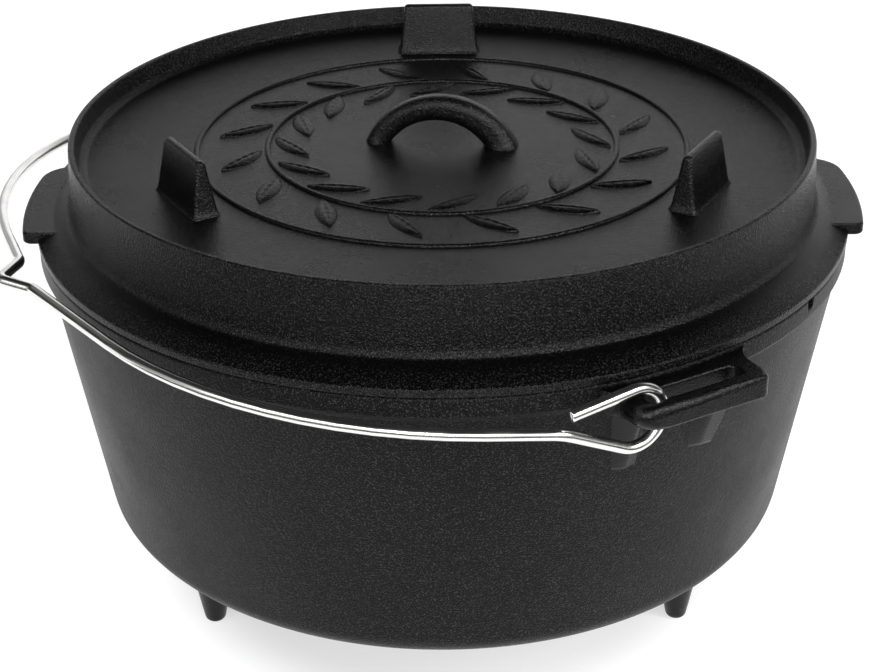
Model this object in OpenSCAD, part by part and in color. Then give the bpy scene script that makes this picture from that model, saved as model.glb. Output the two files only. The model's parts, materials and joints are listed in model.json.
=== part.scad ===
// Camp dutch oven: a cast pot on three feet, a flanged lid with a coal rim, and a wire bail.
// Millimetres. The pot axis is Z, the ground is z = 0, the ears lie along Y and the bail falls towards -X.

/* [Pot] */
// Outer diameter of the rim band
rim_d = 343; // [300:1:400]
// Height of the pot from its underside to the top of its rim
pot_h = 130; // [110:1:180]
// Thickness of the pot wall
wall_t = 5.5; // [4:0.1:7]
// Thickness of the pot floor
floor_t = 6.5; // [4:0.1:9]
// Draft of the wall from upright, in degrees
wall_draft = 9.65; // [4:0.05:12]
// Outer radius where the wall turns into the floor
pot_corner_r = 12; // [8:0.5:25]
// Inner radius where the wall turns into the floor
pot_inner_r = 16; // [8:0.5:25]
// Height of the rim band
band_h = 9; // [6:0.5:14]
// How far the rim band stands out from the top of the wall
band_out = 2; // [1:0.1:4]
// Rounding of the edges on top of the pot rim
rim_edge_r = 1.2; // [0.4:0.1:1.8]
// Width of the probe notch in the rim
notch_w = 5; // [3:0.1:8]
// Depth of the probe notch in the rim
notch_depth = 3.8; // [2:0.1:6]
// Direction of the probe notch about the pot axis, in degrees
notch_turn = -63.5; // [-70:0.5:-50]

/* [Feet] */
// Height of the pot underside above the ground
foot_h = 44.4; // [30:0.2:60]
// Distance of each foot's middle from the edge of the flat underside
foot_inset = 21.3; // [14:0.1:40]
// Diameter of a foot where it meets the pot
foot_top_d = 25; // [16:0.5:28]
// Diameter of a foot just above its rounded end
foot_end_d = 9.5; // [9:0.5:14]
// Radius of the rounded foot end
foot_round = 3; // [2:0.1:4]

/* [Ears] */
// Width of an ear across its two cheeks
ear_w = 60; // [52:0.5:70]
// Thickness of an ear
ear_t = 9.6; // [8:0.1:12]
// Step from the pot rim down to the top of an ear
ear_drop = 1.5; // [0.5:0.1:3]
// Solid web between the rim band and the slot
ear_root = 6.5; // [5:0.1:10]
// Bar outside the slot
ear_bar = 5.5; // [4:0.1:9]
// Plan radius of the outer ear corner on the hook's side
ear_corner_r = 7; // [3:0.5:9]
// Plan radius of the outer ear corner on the flat side
ear_flat_r = 3; // [1:0.5:8]
// Distance of the flat cheek's outer face from the middle of an ear
ear_flat_x = 27.5; // [25:0.5:30]
// Width of the flat cheek
ear_flat_w = 8; // [6:0.5:10]
// Plan radius of the flare where an ear meets the rim
ear_flare_r = 12; // [8:0.5:14]
// Rounding along the outer edge of the bar
ear_edge_r = 4; // [1:0.1:4.5]
// Width of a rib below an ear
rib_w = 14; // [8:0.5:18]
// How far a rib's middle lies inside the middle of its cheek
rib_in = 5; // [2:0.5:8]
// Height of a rib below an ear
rib_h = 31; // [15:0.5:40]
// How far a rib stops short of the slot
rib_set_back = 1; // [0.5:0.1:3]

/* [Lid] */
// How far the flange stands out past the pot rim
flange_over = 0.5; // [0:0.1:3]
// Gap between the pot rim and the lid resting on it
seat_gap = 0.3; // [0.1:0.05:0.6]
// Thickness of the flange at its edge
flange_t = 3.4; // [2.5:0.1:5]
// Rise of the sloping flange from its edge to the foot of the rim
flange_rise = 4.2; // [2:0.1:6]
// Width of the sloping flange
flange_w = 10; // [7:0.5:11]
// Height of the lid from its seat to the top of its rim
lid_h = 37; // [30:0.5:50]
// Thickness of the lid rim below the coal tray
lid_rim_t = 5.6; // [4.5:0.1:7]
// Thickness of the lid rim at its top edge
lid_edge_t = 2.6; // [2.2:0.1:4]
// Rounding of the edges on top of the lid rim
lid_edge_r = 1; // [0.3:0.1:1.1]
// Lean of the lid rim from upright, in degrees
lid_rim_draft = 2.5; // [1:0.1:4]
// Radius of the hollow between flange and rim
flange_fillet = 4.5; // [2:0.1:6]
// Depth of the coal tray below the top of the rim
tray_depth = 9.4; // [6:0.1:14]
// How far the inside of the rim leans out, from the ledge to the top edge
tray_lean = 1.4; // [0.5:0.1:3]
// Width of the sloping ledge round the coal tray
ledge_w = 3; // [2:0.1:5]
// Height of the sloping ledge round the coal tray
ledge_h = 2; // [1:0.1:4]
// Thickness of the lid plate
plate_t = 6; // [4:0.1:9]
// Depth of the locating skirt below the seat
skirt_h = 6; // [4:0.1:10]
// Thickness of the locating skirt
skirt_t = 5.5; // [4:0.1:7]
// Clearance between the skirt and the inside of the pot
skirt_clear = 1.5; // [0.8:0.1:3]
// Turn of the lid on the pot, in degrees
lid_turn = -29.4; // [-32:0.1:-27]

/* [Lid fittings] */
// Height of a lid leg above the plate
leg_h = 22.6; // [14:0.1:32]
// Distance of a leg's outer face from the edge of the plate
leg_inset = 26.1; // [14:0.1:40]
// Width of a leg at the plate
leg_w = 36.8; // [24:0.2:44]
// Width of a leg at its top
leg_top_w = 32; // [20:0.2:36]
// Thickness of a leg at the plate
leg_t = 10.8; // [8:0.1:14]
// Thickness of a leg at its top
leg_top_t = 3.6; // [3:0.1:7]
// How far the outer face of a leg leans in
leg_lean = 3.6; // [1:0.1:5]
// Rounding of a leg's top edges
leg_edge_r = 1; // [0.3:0.1:1.4]
// Width of the bow handle across the outside of its ends
handle_w = 65; // [55:0.5:90]
// Height of the bow handle above the plate
handle_h = 21.6; // [18:0.2:30]
// Diameter of the bow handle's bar
handle_d = 11.2; // [8:0.1:13]
// Turn of the bow handle on the lid, in degrees
handle_turn = -8; // [-15:0.5:15]
// How far a side tab stands out from the flange
tab_out = 4.6; // [4:0.1:8]
// Width of a side tab
tab_w = 71; // [40:1:74]
// Distance of a side tab's middle from the lid axis, towards the front
tab_shift = 6; // [0:0.5:8]
// Thickness of a side tab
tab_t = 5; // [3.5:0.1:6]
// Height of the top of a side tab above the flange edge
tab_up = 3.1; // [1:0.1:4]
// Plan radius of a tab's front corner
tab_front_r = 3; // [1:0.5:10]
// Plan radius of a tab's rear corner
tab_rear_r = 14; // [3:0.5:16]

/* [Lid wreath] */
// Height of the cast wreath above the plate
wreath_h = 1.2; // [0.6:0.1:2]
// Radius of the wreath's stem
wreath_r = 74; // [68:0.5:80]
// Width of the stem and of the border ridge
stem_w = 2.4; // [1.5:0.1:4]
// Clear width between the border ridge and the legs
border_clear = 7.6; // [3:0.1:12]
// Leaves on each side of the stem
leaf_count = 16; // [10:1:20]
// Length of a leaf
leaf_l = 26; // [16:0.5:30]
// Width of a leaf
leaf_w = 9; // [5:0.5:10]
// Angle of a leaf from the stem, in degrees
leaf_angle = 42; // [35:1:55]
// Gap between a leaf and the stem
leaf_gap = 1.2; // [0.6:0.1:3]

/* [Bail] */
// Diameter of the bail wire
wire_d = 4.6; // [4:0.1:6]
// Clearance on each side of the wire in an ear slot
slot_clear = 1.45; // [0.8:0.05:3]
// Clearance between a hook and the cheek that it hangs on
hook_clear = 4.7; // [1:0.05:5.5]
// Length of the straight tail of a hook
tail_l = 27; // [15:0.5:32]
// Place on the hook's circle where the tail leaves, in degrees
tail_from = 79; // [70:1:90]
// Rise of the wire from below the ear to the shoulder, in degrees
shoulder_rise = 22; // [18:0.5:30]
// Bend radius at the shoulder
shoulder_r = 15; // [8:0.5:20]
// Clearance between the bow and the front corner of the left lid tab
bow_clear = 2.9; // [0.2:0.1:6]
// How far the bow falls back from its middle to its corners
bow_fall = 22.8; // [15:0.2:30]
// How far the bow's corners lie inside the hooks
bow_inset = 41.75; // [36:0.25:50]
// Bend radius at the bow's corners
bow_r = 150; // [80:1:155]
// Distance of the kink from the middle, towards the rear ear
kink_shift = 14.5; // [0:0.5:20]
// Length of the kink along the bow
kink_w = 27; // [20:0.5:36]
// Height of the kink above the bow
kink_h = 11; // [6:0.2:16]
// Bend radius at the tip of the kink
kink_tip_r = 4; // [3.4:0.1:5]
// Bend radius at each end of the kink
kink_end_r = 8; // [4:0.5:12]
// Rise of the bail above level, in degrees
bail_rise = 5; // [4:0.1:20]
// How far the bail hangs below the middle of its cheeks
bail_drop = 2.6; // [0:0.1:3]
// How far the bail hangs out from the middle of its cheeks
bail_out = 0.7; // [0:0.1:2]

/* [Hidden] */
$fn = 96;

iron = [0.13, 0.13, 0.13];
steel = [0.80, 0.80, 0.80];
arc_steps = 8;
past = 1;

// Fineness of the wire: sides, and degrees between its rings on tight and on wide bends
wire_sides = 12;
tight_step = 18;
wide_step = 6;
wide_bend_r = 50;
least_run = 0.01;

// Feet and lid legs stand a third of a turn apart, and the ears half a turn
third_turn = 120;
half_turn = 180;
foot_turn = 180;
leg_turn = 90;

// Pot levels and radii
rim_r = rim_d / 2;
pot_top = foot_h + pot_h;
band_z = pot_top - band_h;
floor_z = foot_h + floor_t;
wall_slope = tan(wall_draft);
wall_level_t = wall_t / cos(wall_draft);
corner_z = foot_h + pot_corner_r;
underside_r = pot_wall_r(corner_z) - pot_corner_r / cos(wall_draft);
foot_circle_r = underside_r - foot_inset;

// Lid levels and radii
seat_z = pot_top + seat_gap;
flange_r = rim_r + flange_over;
flange_top = seat_z + flange_t;
slope_top = flange_top + flange_rise;
lid_top = seat_z + lid_h;
plate_z = lid_top - tray_depth;
lid_foot_r = flange_r - flange_w;
lid_lean = tan(lid_rim_draft);
fillet_z = slope_top + flange_fillet;
lid_top_r = lid_wall_r(lid_top);
tray_top_r = lid_top_r - lid_edge_t;
tray_r = tray_top_r - tray_lean;
plate_r = tray_r - ledge_w;
leg_circle_r = plate_r - leg_inset;
border_r = leg_circle_r - leg_t - border_clear - stem_w / 2;
skirt_top_r = pot_in_r(pot_top) - skirt_clear;
skirt_end_r = pot_in_r(pot_top - skirt_h) - skirt_clear;
tab_reach = flange_r + tab_out;
tab_top = flange_top + tab_up;
tab_tip = [-sqrt(tab_reach * tab_reach - tab_w * tab_w / 4), -tab_w / 2 - tab_shift];

// Ear places, measured outward from the pot axis
ear_top = pot_top - ear_drop;
ear_bottom = ear_top - ear_t;
slot_w = wire_d + 2 * slot_clear;
slot_in = rim_r + ear_root;
slot_out = slot_in + slot_w;
ear_reach = slot_out + ear_bar;
cheek_x = (ear_w - ear_t) / 2;

// Bail hinge line: along Y through the cheeks on the -X side
hook_y = slot_in + slot_w / 2;
pivot = [-cheek_x, 0, ear_top - ear_t / 2];
hook_r = (ear_t + wire_d) / 2 + hook_clear;
hook_exit = 270 + shoulder_rise;
hook_corners = 3;
shoulder_u = hook_r * cos(hook_exit) - hook_r * sin(hook_exit) / tan(shoulder_rise);
bow_corner_y = hook_y - bow_inset;
tip_x = tab_tip[0] * cos(lid_turn) - tab_tip[1] * sin(lid_turn);
tip_y = tab_tip[0] * sin(lid_turn) + tab_tip[1] * cos(lid_turn);
bow_at_tip = (wire_d / 2 + bow_clear - tip_x - cheek_x - bail_drop * sin(bail_rise)) / cos(bail_rise) - bail_out;
bow_u = bow_at_tip + bow_fall * abs(tip_y) / bow_corner_y;
bow_corner = [bow_u - bow_fall, bow_corner_y];

function pot_wall_r(z) = rim_r - band_out - (band_z - z) * wall_slope;
function pot_in_r(z) = pot_wall_r(z) - wall_level_t;
function lid_wall_r(z) = lid_foot_r - flange_fillet - (z - fillet_z) * lid_lean;
function unit(v) = v / norm(v);
function arc(c, r, from, to) = [
    for (i = [0 : arc_steps]) let (a = from + (to - from) * i / arc_steps) c + r * [cos(a), sin(a)]
];

// Outer outline of the pot, from the axis under the floor to the outer edge of the rim
function pot_outer() =
    concat(
        [[0, foot_h]],
        arc([underside_r, corner_z], pot_corner_r, -90, -wall_draft),
        [[pot_wall_r(band_z - band_out / 2), band_z - band_out / 2], [rim_r, band_z + band_out / 2]],
        arc([rim_r - rim_edge_r, pot_top - rim_edge_r], rim_edge_r, 0, 90)
    );

// Inner outline of the pot, from the inner edge of the rim to the axis on the floor
function pot_inner() =
    let (cz = floor_z + pot_inner_r, cr = pot_in_r(cz) - pot_inner_r / cos(wall_draft))
    concat(
        arc([pot_in_r(pot_top) + rim_edge_r, pot_top - rim_edge_r], rim_edge_r, 90, 180),
        arc([cr, cz], pot_inner_r, -wall_draft, -90),
        [[0, floor_z]]
    );

// Middle of a tab corner of radius r, which touches the tab's side and its reach
function tab_corner(r) =
    let (reach = tab_reach - r, y = tab_w / 2 - r)
    [sqrt(reach * reach - y * y), y];

// Outline of the lid's rim, flange and skirt, outside of the plate
function lid_section() =
    let (
        wall_in = lid_wall_r(slope_top) - lid_rim_t,
        under_z = plate_z - plate_t,
        skirt_z = seat_z - skirt_h
    )
    concat(
        [[flange_r, seat_z], [flange_r, flange_top], [lid_foot_r, slope_top]],
        arc([lid_foot_r, fillet_z], flange_fillet, 270, 180),
        arc([lid_top_r - lid_edge_r, lid_top - lid_edge_r], lid_edge_r, 0, 90),
        arc([tray_top_r + lid_edge_r, lid_top - lid_edge_r], lid_edge_r, 90, 180),
        [[tray_r, plate_z + ledge_h], [plate_r, plate_z], [plate_r, under_z]],
        [[wall_in - plate_t, under_z], [wall_in, under_z - plate_t], [wall_in, slope_top]],
        [[skirt_end_r - skirt_t, seat_z], [skirt_end_r - skirt_t, skirt_z]],
        [[skirt_end_r, skirt_z], [skirt_top_r, seat_z]]
    );

module pot_envelope() {
    rotate_extrude()
        polygon(concat(pot_outer(), [[0, pot_top]]));
}

module pot_shell() {
    color(iron)
        difference() {
            rotate_extrude()
                polygon(concat(pot_outer(), pot_inner()));
            rotate([0, 0, notch_turn])
                translate([pot_in_r(pot_top) - past, -notch_w / 2, pot_top - notch_depth])
                    cube([rim_r - pot_in_r(pot_top) + 2 * past, notch_w, notch_depth + past]);
        }
}

// One side of an ear's plan, with a given half width and radius at its outer corner
function ear_side(half, corner_r) =
    let (flare = half + ear_flare_r)
    concat(
        [[flare, pot_in_r(ear_bottom)], [flare, slot_in - ear_flare_r]],
        arc([flare, slot_in], ear_flare_r, 270, 180),
        arc([half - corner_r, ear_reach - corner_r], corner_r, 0, 90)
    );

// Plan of one ear, reaching outward along +Y, with its root inside the pot
module ear_plan(hook_side) {
    hook = ear_side(ear_w / 2, ear_corner_r);
    flat = ear_side(ear_flat_x, ear_flat_r);
    polygon(concat(
        [for (p = hook) [hook_side * p[0], p[1]]],
        [for (i = [len(flat) - 1 : -1 : 0]) [-hook_side * flat[i][0], flat[i][1]]]
    ));
}

// Bar and cheeks of one ear: a round cheek on the hook's side (-1 or 1), a flat one on the other, and a rounded bar
module ear_loop(hook_side) {
    slab_l = ear_reach - slot_in;
    flat_x = -hook_side * ear_flat_x;
    intersection() {
        translate([0, 0, ear_bottom])
            linear_extrude(ear_t)
                ear_plan(hook_side);
        translate([0, ear_reach, 0])
            rotate([90, 0, 0])
                linear_extrude(slab_l) {
                    translate([min(flat_x, hook_side * cheek_x), ear_bottom])
                        square([ear_flat_x + cheek_x, ear_t]);
                    translate([hook_side * cheek_x, pivot[2]])
                        circle(d = ear_t);
                }
        rotate([90, 0, 90])
            linear_extrude(2 * ear_w, center = true)
                polygon(concat(
                    [[slot_in, ear_top], [slot_in, ear_bottom]],
                    arc([ear_reach - ear_edge_r, ear_bottom + ear_edge_r], ear_edge_r, 270, 360),
                    arc([ear_reach - ear_edge_r, ear_top - ear_edge_r], ear_edge_r, 0, 90)
                ));
    }
}

// Solid root of one ear between the rim band and the slot
module ear_web(hook_side) {
    intersection() {
        translate([0, 0, ear_bottom])
            linear_extrude(ear_t)
                ear_plan(hook_side);
        translate([-ear_w, 0, ear_bottom])
            cube([2 * ear_w, slot_in, ear_t]);
    }
}

// Opening between the cheeks, which keeps the hook's cheek round
module ear_slot(hook_side) {
    flat_x = hook_side * (ear_flat_w - ear_flat_x);
    difference() {
        translate([min(flat_x, hook_side * cheek_x), slot_in, ear_bottom - past])
            cube([cheek_x + ear_flat_x - ear_flat_w, slot_w, ear_t + 2 * past]);
        translate([hook_side * cheek_x, slot_in - past, pivot[2]])
            rotate([-90, 0, 0])
                cylinder(h = slot_w + 2 * past, d = ear_t);
    }
}

// Rib below a cheek, running out into the wall
module ear_rib(side) {
    foot_z = ear_bottom - rib_h;
    translate([side * (cheek_x - rib_in) - rib_w / 2, 0, 0])
        rotate([90, 0, 90])
            linear_extrude(rib_w)
                polygon([
                    [pot_in_r(foot_z), foot_z],
                    [pot_wall_r(foot_z), foot_z],
                    [slot_in - rib_set_back, ear_bottom],
                    [pot_in_r(foot_z), ear_bottom]
                ]);
}

module ear(hook_side) {
    difference() {
        union() {
            difference() {
                ear_loop(hook_side);
                ear_slot(hook_side);
            }
            ear_web(hook_side);
            for (side = [-1, 1])
                ear_rib(side);
        }
        pot_envelope();
    }
}

module pot_ear_front() {
    color(iron)
        rotate([0, 0, half_turn])
            ear(1);
}

module pot_ear_rear() {
    color(iron)
        ear(-1);
}

// Tapered peg with a rounded end and a small flat to stand on
module foot(turn) {
    end_r = foot_end_d / 2;
    color(iron)
        rotate([0, 0, turn])
            translate([foot_circle_r, 0, 0])
                rotate_extrude()
                    polygon(concat(
                        [[0, 0]],
                        arc([end_r - foot_round, foot_round], foot_round, -90, 0),
                        [[foot_top_d / 2, foot_h], [0, foot_h]]
                    ));
}

module pot_foot_left() {
    foot(foot_turn);
}

module pot_foot_front() {
    foot(foot_turn + third_turn);
}

module pot_foot_rear() {
    foot(foot_turn - third_turn);
}

// Puts a lid piece into its turned place on the pot
module on_lid() {
    color(iron)
        rotate([0, 0, lid_turn])
            children();
}

module lid_plate() {
    on_lid()
        translate([0, 0, plate_z - plate_t])
            cylinder(h = plate_t, r = plate_r);
}

module lid_rim() {
    on_lid()
        rotate_extrude()
            polygon(lid_section());
}

// Bow handle: part of a ring that stands on the plate
module lid_handle() {
    half = handle_w / 2;
    ring_r = (half * half + handle_h * handle_h) / (2 * handle_h) - handle_d / 2;
    ring_z = plate_z + handle_h - ring_r - handle_d / 2;
    on_lid()
        rotate([0, 0, handle_turn])
            intersection() {
                translate([0, 0, ring_z])
                    rotate([90, 0, 0])
                        rotate_extrude()
                            translate([ring_r, 0])
                                circle(d = handle_d);
                translate([-handle_w, -handle_d, plate_z])
                    cube([2 * handle_w, 2 * handle_d, 2 * handle_h]);
            }
}

// Wedge leg whose broad faces look towards and away from the lid axis
module lid_leg(turn) {
    out_top = leg_circle_r - leg_lean;
    in_top = out_top - leg_top_t;
    top_z = plate_z + leg_h;
    on_lid()
        rotate([0, 0, turn])
            intersection() {
                rotate([90, 0, 0])
                    linear_extrude(leg_w, center = true)
                        polygon(concat(
                            [[leg_circle_r - leg_t, plate_z], [leg_circle_r, plate_z]],
                            arc([out_top - leg_edge_r, top_z - leg_edge_r], leg_edge_r, 0, 90),
                            arc([in_top + leg_edge_r, top_z - leg_edge_r], leg_edge_r, 90, 180)
                        ));
                rotate([90, 0, 90])
                    linear_extrude(leg_circle_r)
                        polygon(concat(
                            [[-leg_w / 2, plate_z], [leg_w / 2, plate_z]],
                            arc([leg_top_w / 2 - leg_edge_r, top_z - leg_edge_r], leg_edge_r, 0, 90),
                            arc([leg_edge_r - leg_top_w / 2, top_z - leg_edge_r], leg_edge_r, 90, 180)
                        ));
            }
}

module lid_leg_left() {
    lid_leg(leg_turn + third_turn);
}

module lid_leg_right() {
    lid_leg(leg_turn - third_turn);
}

module lid_leg_rear() {
    lid_leg(leg_turn);
}

// Side tab that grows out of the sloping flange on the lid's right (1) or left (-1), with its front towards -Y
module lid_tab(side) {
    half = tab_w / 2;
    root_x = lid_foot_r - flange_w;
    front = tab_corner(tab_front_r);
    rear = tab_corner(tab_rear_r);
    front_a = atan2(front[1], front[0]);
    rear_a = atan2(rear[1], rear[0]);
    outline = concat(
        [[root_x, -half]],
        arc([front[0], -front[1]], tab_front_r, -90, -front_a),
        arc([0, 0], tab_reach, -front_a, rear_a),
        arc(rear, tab_rear_r, rear_a, 90),
        [[root_x, half]]
    );
    on_lid()
        difference() {
            translate([0, -tab_shift, tab_top - tab_t])
                linear_extrude(tab_t)
                    polygon([for (p = outline) [side * p[0], p[1]]]);
            rotate_extrude()
                polygon([
                    [0, seat_z], [flange_r, seat_z], [flange_r, flange_top],
                    [lid_foot_r, slope_top], [0, slope_top]
                ]);
        }
}

module lid_tab_left() {
    lid_tab(-1);
}

module lid_tab_right() {
    lid_tab(1);
}

// Pointed leaf lying along +X from the origin
module leaf() {
    side_r = (leaf_l * leaf_l + leaf_w * leaf_w) / (4 * leaf_w);
    intersection_for (side = [-1, 1])
        translate([leaf_l / 2, side * (side_r - leaf_w / 2)])
            circle(r = side_r);
}

// Flat ring of the stem's width
module ring(r) {
    difference() {
        circle(r = r + stem_w / 2);
        circle(r = r - stem_w / 2);
    }
}

// Cast wreath of leaves on both sides of a round stem, inside a plain border ridge
module lid_wreath() {
    step = 360 / leaf_count;
    on_lid()
        translate([0, 0, plate_z])
            linear_extrude(wreath_h) {
                ring(wreath_r);
                ring(border_r);
                for (i = [0 : leaf_count - 1], side = [-1, 1])
                    rotate([0, 0, i * step + side * step / 4])
                        translate([wreath_r + side * (stem_w / 2 + leaf_gap), 0])
                            rotate([0, 0, 90 - side * leaf_angle])
                                leaf();
            }
}

// Point of the bail given by its reach from the hinge line, its place along Y and its lift off the bow's plane
function bail_point(u, y, n) =
    let (reach = u + bail_out, lift = n - bail_drop)
    pivot + [
        lift * sin(bail_rise) - reach * cos(bail_rise), y,
        reach * sin(bail_rise) + lift * cos(bail_rise)
    ];

// Corners of one hook, from its tail to its shoulder, each with a bend radius
function hook_path(side) =
    let (
        turn = (hook_exit - tail_from) / hook_corners,
        corner_r = hook_r / cos(turn / 2),
        tail = hook_r * [cos(tail_from), sin(tail_from)] + tail_l * [sin(tail_from), -cos(tail_from)]
    )
    concat(
        [[bail_point(tail[0], side * hook_y, tail[1]), 0]],
        [
            for (i = [0 : hook_corners - 1]) let (a = tail_from + turn * (i + 0.5))
                [bail_point(corner_r * cos(a), side * hook_y, corner_r * sin(a)), hook_r]
        ],
        [[bail_point(shoulder_u, side * hook_y, 0), shoulder_r]]
    );

// Reach of the bow at a place y, on its straight run from the middle to a corner
function bow_at(y) = bow_u - bow_fall * abs(y) / bow_corner[1];

// Corners of the whole wire, from the tail at the front ear to the tail at the rear ear
function bail_path() =
    let (
        kink_y = [kink_shift - kink_w / 2, kink_shift, kink_shift + kink_w / 2],
        rear = hook_path(1)
    )
    concat(
        hook_path(-1),
        [
            [bail_point(bow_corner[0], -bow_corner[1], 0), bow_r],
            [bail_point(bow_at(kink_y[0]), kink_y[0], 0), kink_end_r],
            [bail_point(bow_at(kink_y[1]) + kink_h, kink_y[1], 0), kink_tip_r],
            [bail_point(bow_at(kink_y[2]), kink_y[2], 0), kink_end_r],
            [bail_point(bow_corner[0], bow_corner[1], 0), bow_r]
        ],
        [for (i = [len(rear) - 1 : -1 : 0]) rear[i]]
    );

// Stations along the bend at one corner, each a point with the wire's direction there
function bend_stations(corner, r, dir_in, dir_out) =
    let (
        turn = acos(dir_in * dir_out),
        side = unit(dir_out - dir_in * (dir_in * dir_out)),
        centre = corner - dir_in * r * tan(turn / 2) + side * r,
        steps = ceil(turn / (r > wide_bend_r ? wide_step : tight_step))
    )
    [
        for (i = [0 : steps]) let (a = turn * i / steps)
            [centre - side * r * cos(a) + dir_in * r * sin(a), dir_in * cos(a) + side * sin(a)]
    ];

// Stations along the whole wire: its two cut ends, and the bends between them
function wire_stations(path) =
    let (
        last = len(path) - 1,
        dirs = [for (i = [0 : last - 1]) unit(path[i + 1][0] - path[i][0])]
    )
    concat(
        [[path[0][0], dirs[0]]],
        [for (i = [1 : last - 1]) each bend_stations(path[i][0], path[i][1], dirs[i - 1], dirs[i])],
        [[path[last][0], dirs[last - 1]]]
    );

// Stations without the doubles where one bend ends at the start of the next
function single_stations(all) = [
    for (i = [0 : len(all) - 1])
        if (i == 0 || norm(all[i][0] - all[i - 1][0]) > least_run) all[i]
];

// Round wire swept along its stations, with a cross direction that is carried along without twist
module wire(stations) {
    count = len(stations);
    cross_dirs = [
        for (i = 0, x = [0, 1, 0]; i < count; i = i + 1,
            x = i < count ? unit(x - stations[i][1] * (x * stations[i][1])) : x) x
    ];
    points = [
        for (i = [0 : count - 1], k = [0 : wire_sides - 1])
            let (
                a = 360 * k / wire_sides,
                x = cross_dirs[i],
                y = cross(stations[i][1], x)
            )
            stations[i][0] + wire_d / 2 * (x * cos(a) + y * sin(a))
    ];
    sides = [
        for (i = [0 : count - 2], k = [0 : wire_sides - 1])
            let (
                a = i * wire_sides + k,
                b = i * wire_sides + (k + 1) % wire_sides
            )
            each [[a, a + wire_sides, b], [b, a + wire_sides, b + wire_sides]]
    ];
    final = (count - 1) * wire_sides;
    ends = [
        for (k = [1 : wire_sides - 2])
            each [[0, k, k + 1], [final, final + k + 1, final + k]]
    ];
    polyhedron(points, concat(sides, ends));
}

module bail() {
    color(steel)
        wire(single_stations(wire_stations(bail_path())));
}

pot_shell();
pot_ear_front();
pot_ear_rear();
pot_foot_left();
pot_foot_front();
pot_foot_rear();
lid_plate();
lid_rim();
lid_handle();
lid_leg_left();
lid_leg_right();
lid_leg_rear();
lid_tab_left();
lid_tab_right();
lid_wreath();
bail();
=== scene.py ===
"""Camp dutch oven: a cast-iron pot and lid with a bright wire bail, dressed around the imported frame.

Lengths are millimetres and angles degrees until a mesh is made, where lengths become metres. The pot
axis is Z, the ground is z = 0, the ears lie along Y with the front ear at -Y, and the bail is laid down
towards -X.
"""

import json
import logging
import math
from dataclasses import dataclass, field
from enum import Enum
from typing import ClassVar

import bpy
import numpy as np
from mathutils import Matrix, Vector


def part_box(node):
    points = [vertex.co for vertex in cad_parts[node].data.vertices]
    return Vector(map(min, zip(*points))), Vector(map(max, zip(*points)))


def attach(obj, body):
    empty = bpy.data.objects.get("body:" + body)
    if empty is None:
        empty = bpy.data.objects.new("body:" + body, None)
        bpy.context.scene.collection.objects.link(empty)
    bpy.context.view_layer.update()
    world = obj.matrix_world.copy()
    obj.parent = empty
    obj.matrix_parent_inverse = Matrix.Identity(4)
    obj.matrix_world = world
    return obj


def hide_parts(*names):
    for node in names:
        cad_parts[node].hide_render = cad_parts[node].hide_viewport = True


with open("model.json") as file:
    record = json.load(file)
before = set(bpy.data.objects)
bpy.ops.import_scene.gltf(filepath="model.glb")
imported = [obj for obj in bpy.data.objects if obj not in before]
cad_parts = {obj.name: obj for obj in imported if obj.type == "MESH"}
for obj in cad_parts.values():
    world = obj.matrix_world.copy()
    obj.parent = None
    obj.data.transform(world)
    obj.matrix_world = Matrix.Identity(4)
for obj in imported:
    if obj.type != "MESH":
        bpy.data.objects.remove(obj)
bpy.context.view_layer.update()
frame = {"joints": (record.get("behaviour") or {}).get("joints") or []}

Array = np.ndarray
LOG = logging.getLogger("camp_oven")
MM = 0.001

# Points along the flat sides of a rounded section, crowded at its corners so that flat faces shade flat
FLAT_SHARES = np.array([0.04, 0.2, 0.5, 0.8, 0.96])

# Points along each side and round each corner of a plan loop
LOOP_SIDE, LOOP_CORNER = 25, 9

# Mesh attributes: the share of sand marks, and the place round and along the wire
COARSE, WIRE_LAY = "coarse", "wire_lay"


class Body(Enum):
    """Bodies of the frame that pieces ride on."""

    POT = "pot"
    LID = "lid"
    BAIL = "bail"


class Slot(Enum):
    """Material slots of the record, one for each assembly; the pieces wear the materials made here."""

    POT = "pot_iron"
    LID = "lid_iron"
    BAIL = "bail_steel"


@dataclass
class Surface:
    """A closed mesh in millimetres: its points, and the point numbers of its quads and triangles."""

    points: Array
    quads: Array
    triangles: Array = field(default_factory=lambda: np.empty((0, 3), int))

    def volume(self) -> float:
        """Signed volume: a sixth of the summed triple products of the corners of every triangle.

        Returns:
            The volume in cubic millimetres, which is positive where the faces point outwards.
        """
        corners = np.concatenate([self.quads[:, [0, 1, 2]], self.quads[:, [0, 2, 3]], self.triangles])
        first, second, third = (self.points[corners[:, k]] for k in range(3))
        return float(np.einsum("ij,ij->", first, np.cross(second, third)) / 6)

    def outward(self) -> "Surface":
        """The same surface with its faces pointing outwards, which a positive volume shows.

        Returns:
            This surface, or one with its faces reversed.
        """
        if self.volume() >= 0:
            return self
        return Surface(self.points, self.quads[:, ::-1], self.triangles[:, ::-1])

    def turned(self, degrees: float) -> "Surface":
        """The same surface turned about Z."""
        return Surface(self.points @ turn_matrix(degrees).T, self.quads, self.triangles)


def unit(vectors: Array) -> Array:
    """Vectors divided by their lengths, with a null vector left as it is."""
    lengths = np.linalg.norm(vectors, axis=-1, keepdims=True)
    return vectors / np.where(lengths > 0, lengths, 1)


def smooth(values: Array, low: float, high: float) -> Array:
    """Smooth step from 0 at low to 1 at high: 3 t^2 - 2 t^3 of the share t between them."""
    share = np.clip((values - low) / (high - low), 0, 1)
    return share * share * (3 - 2 * share)


def turn_matrix(degrees: float) -> Array:
    """Matrix of a turn about Z."""
    c, s = math.cos(math.radians(degrees)), math.sin(math.radians(degrees))
    return np.array([[c, -s, 0], [s, c, 0], [0, 0, 1]])


def frame_span(node: str) -> tuple[Array, Array]:
    """Lowest and highest corner of a node of the frame, in millimetres."""
    low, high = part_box(node)
    return np.array(low) / MM, np.array(high) / MM


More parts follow.
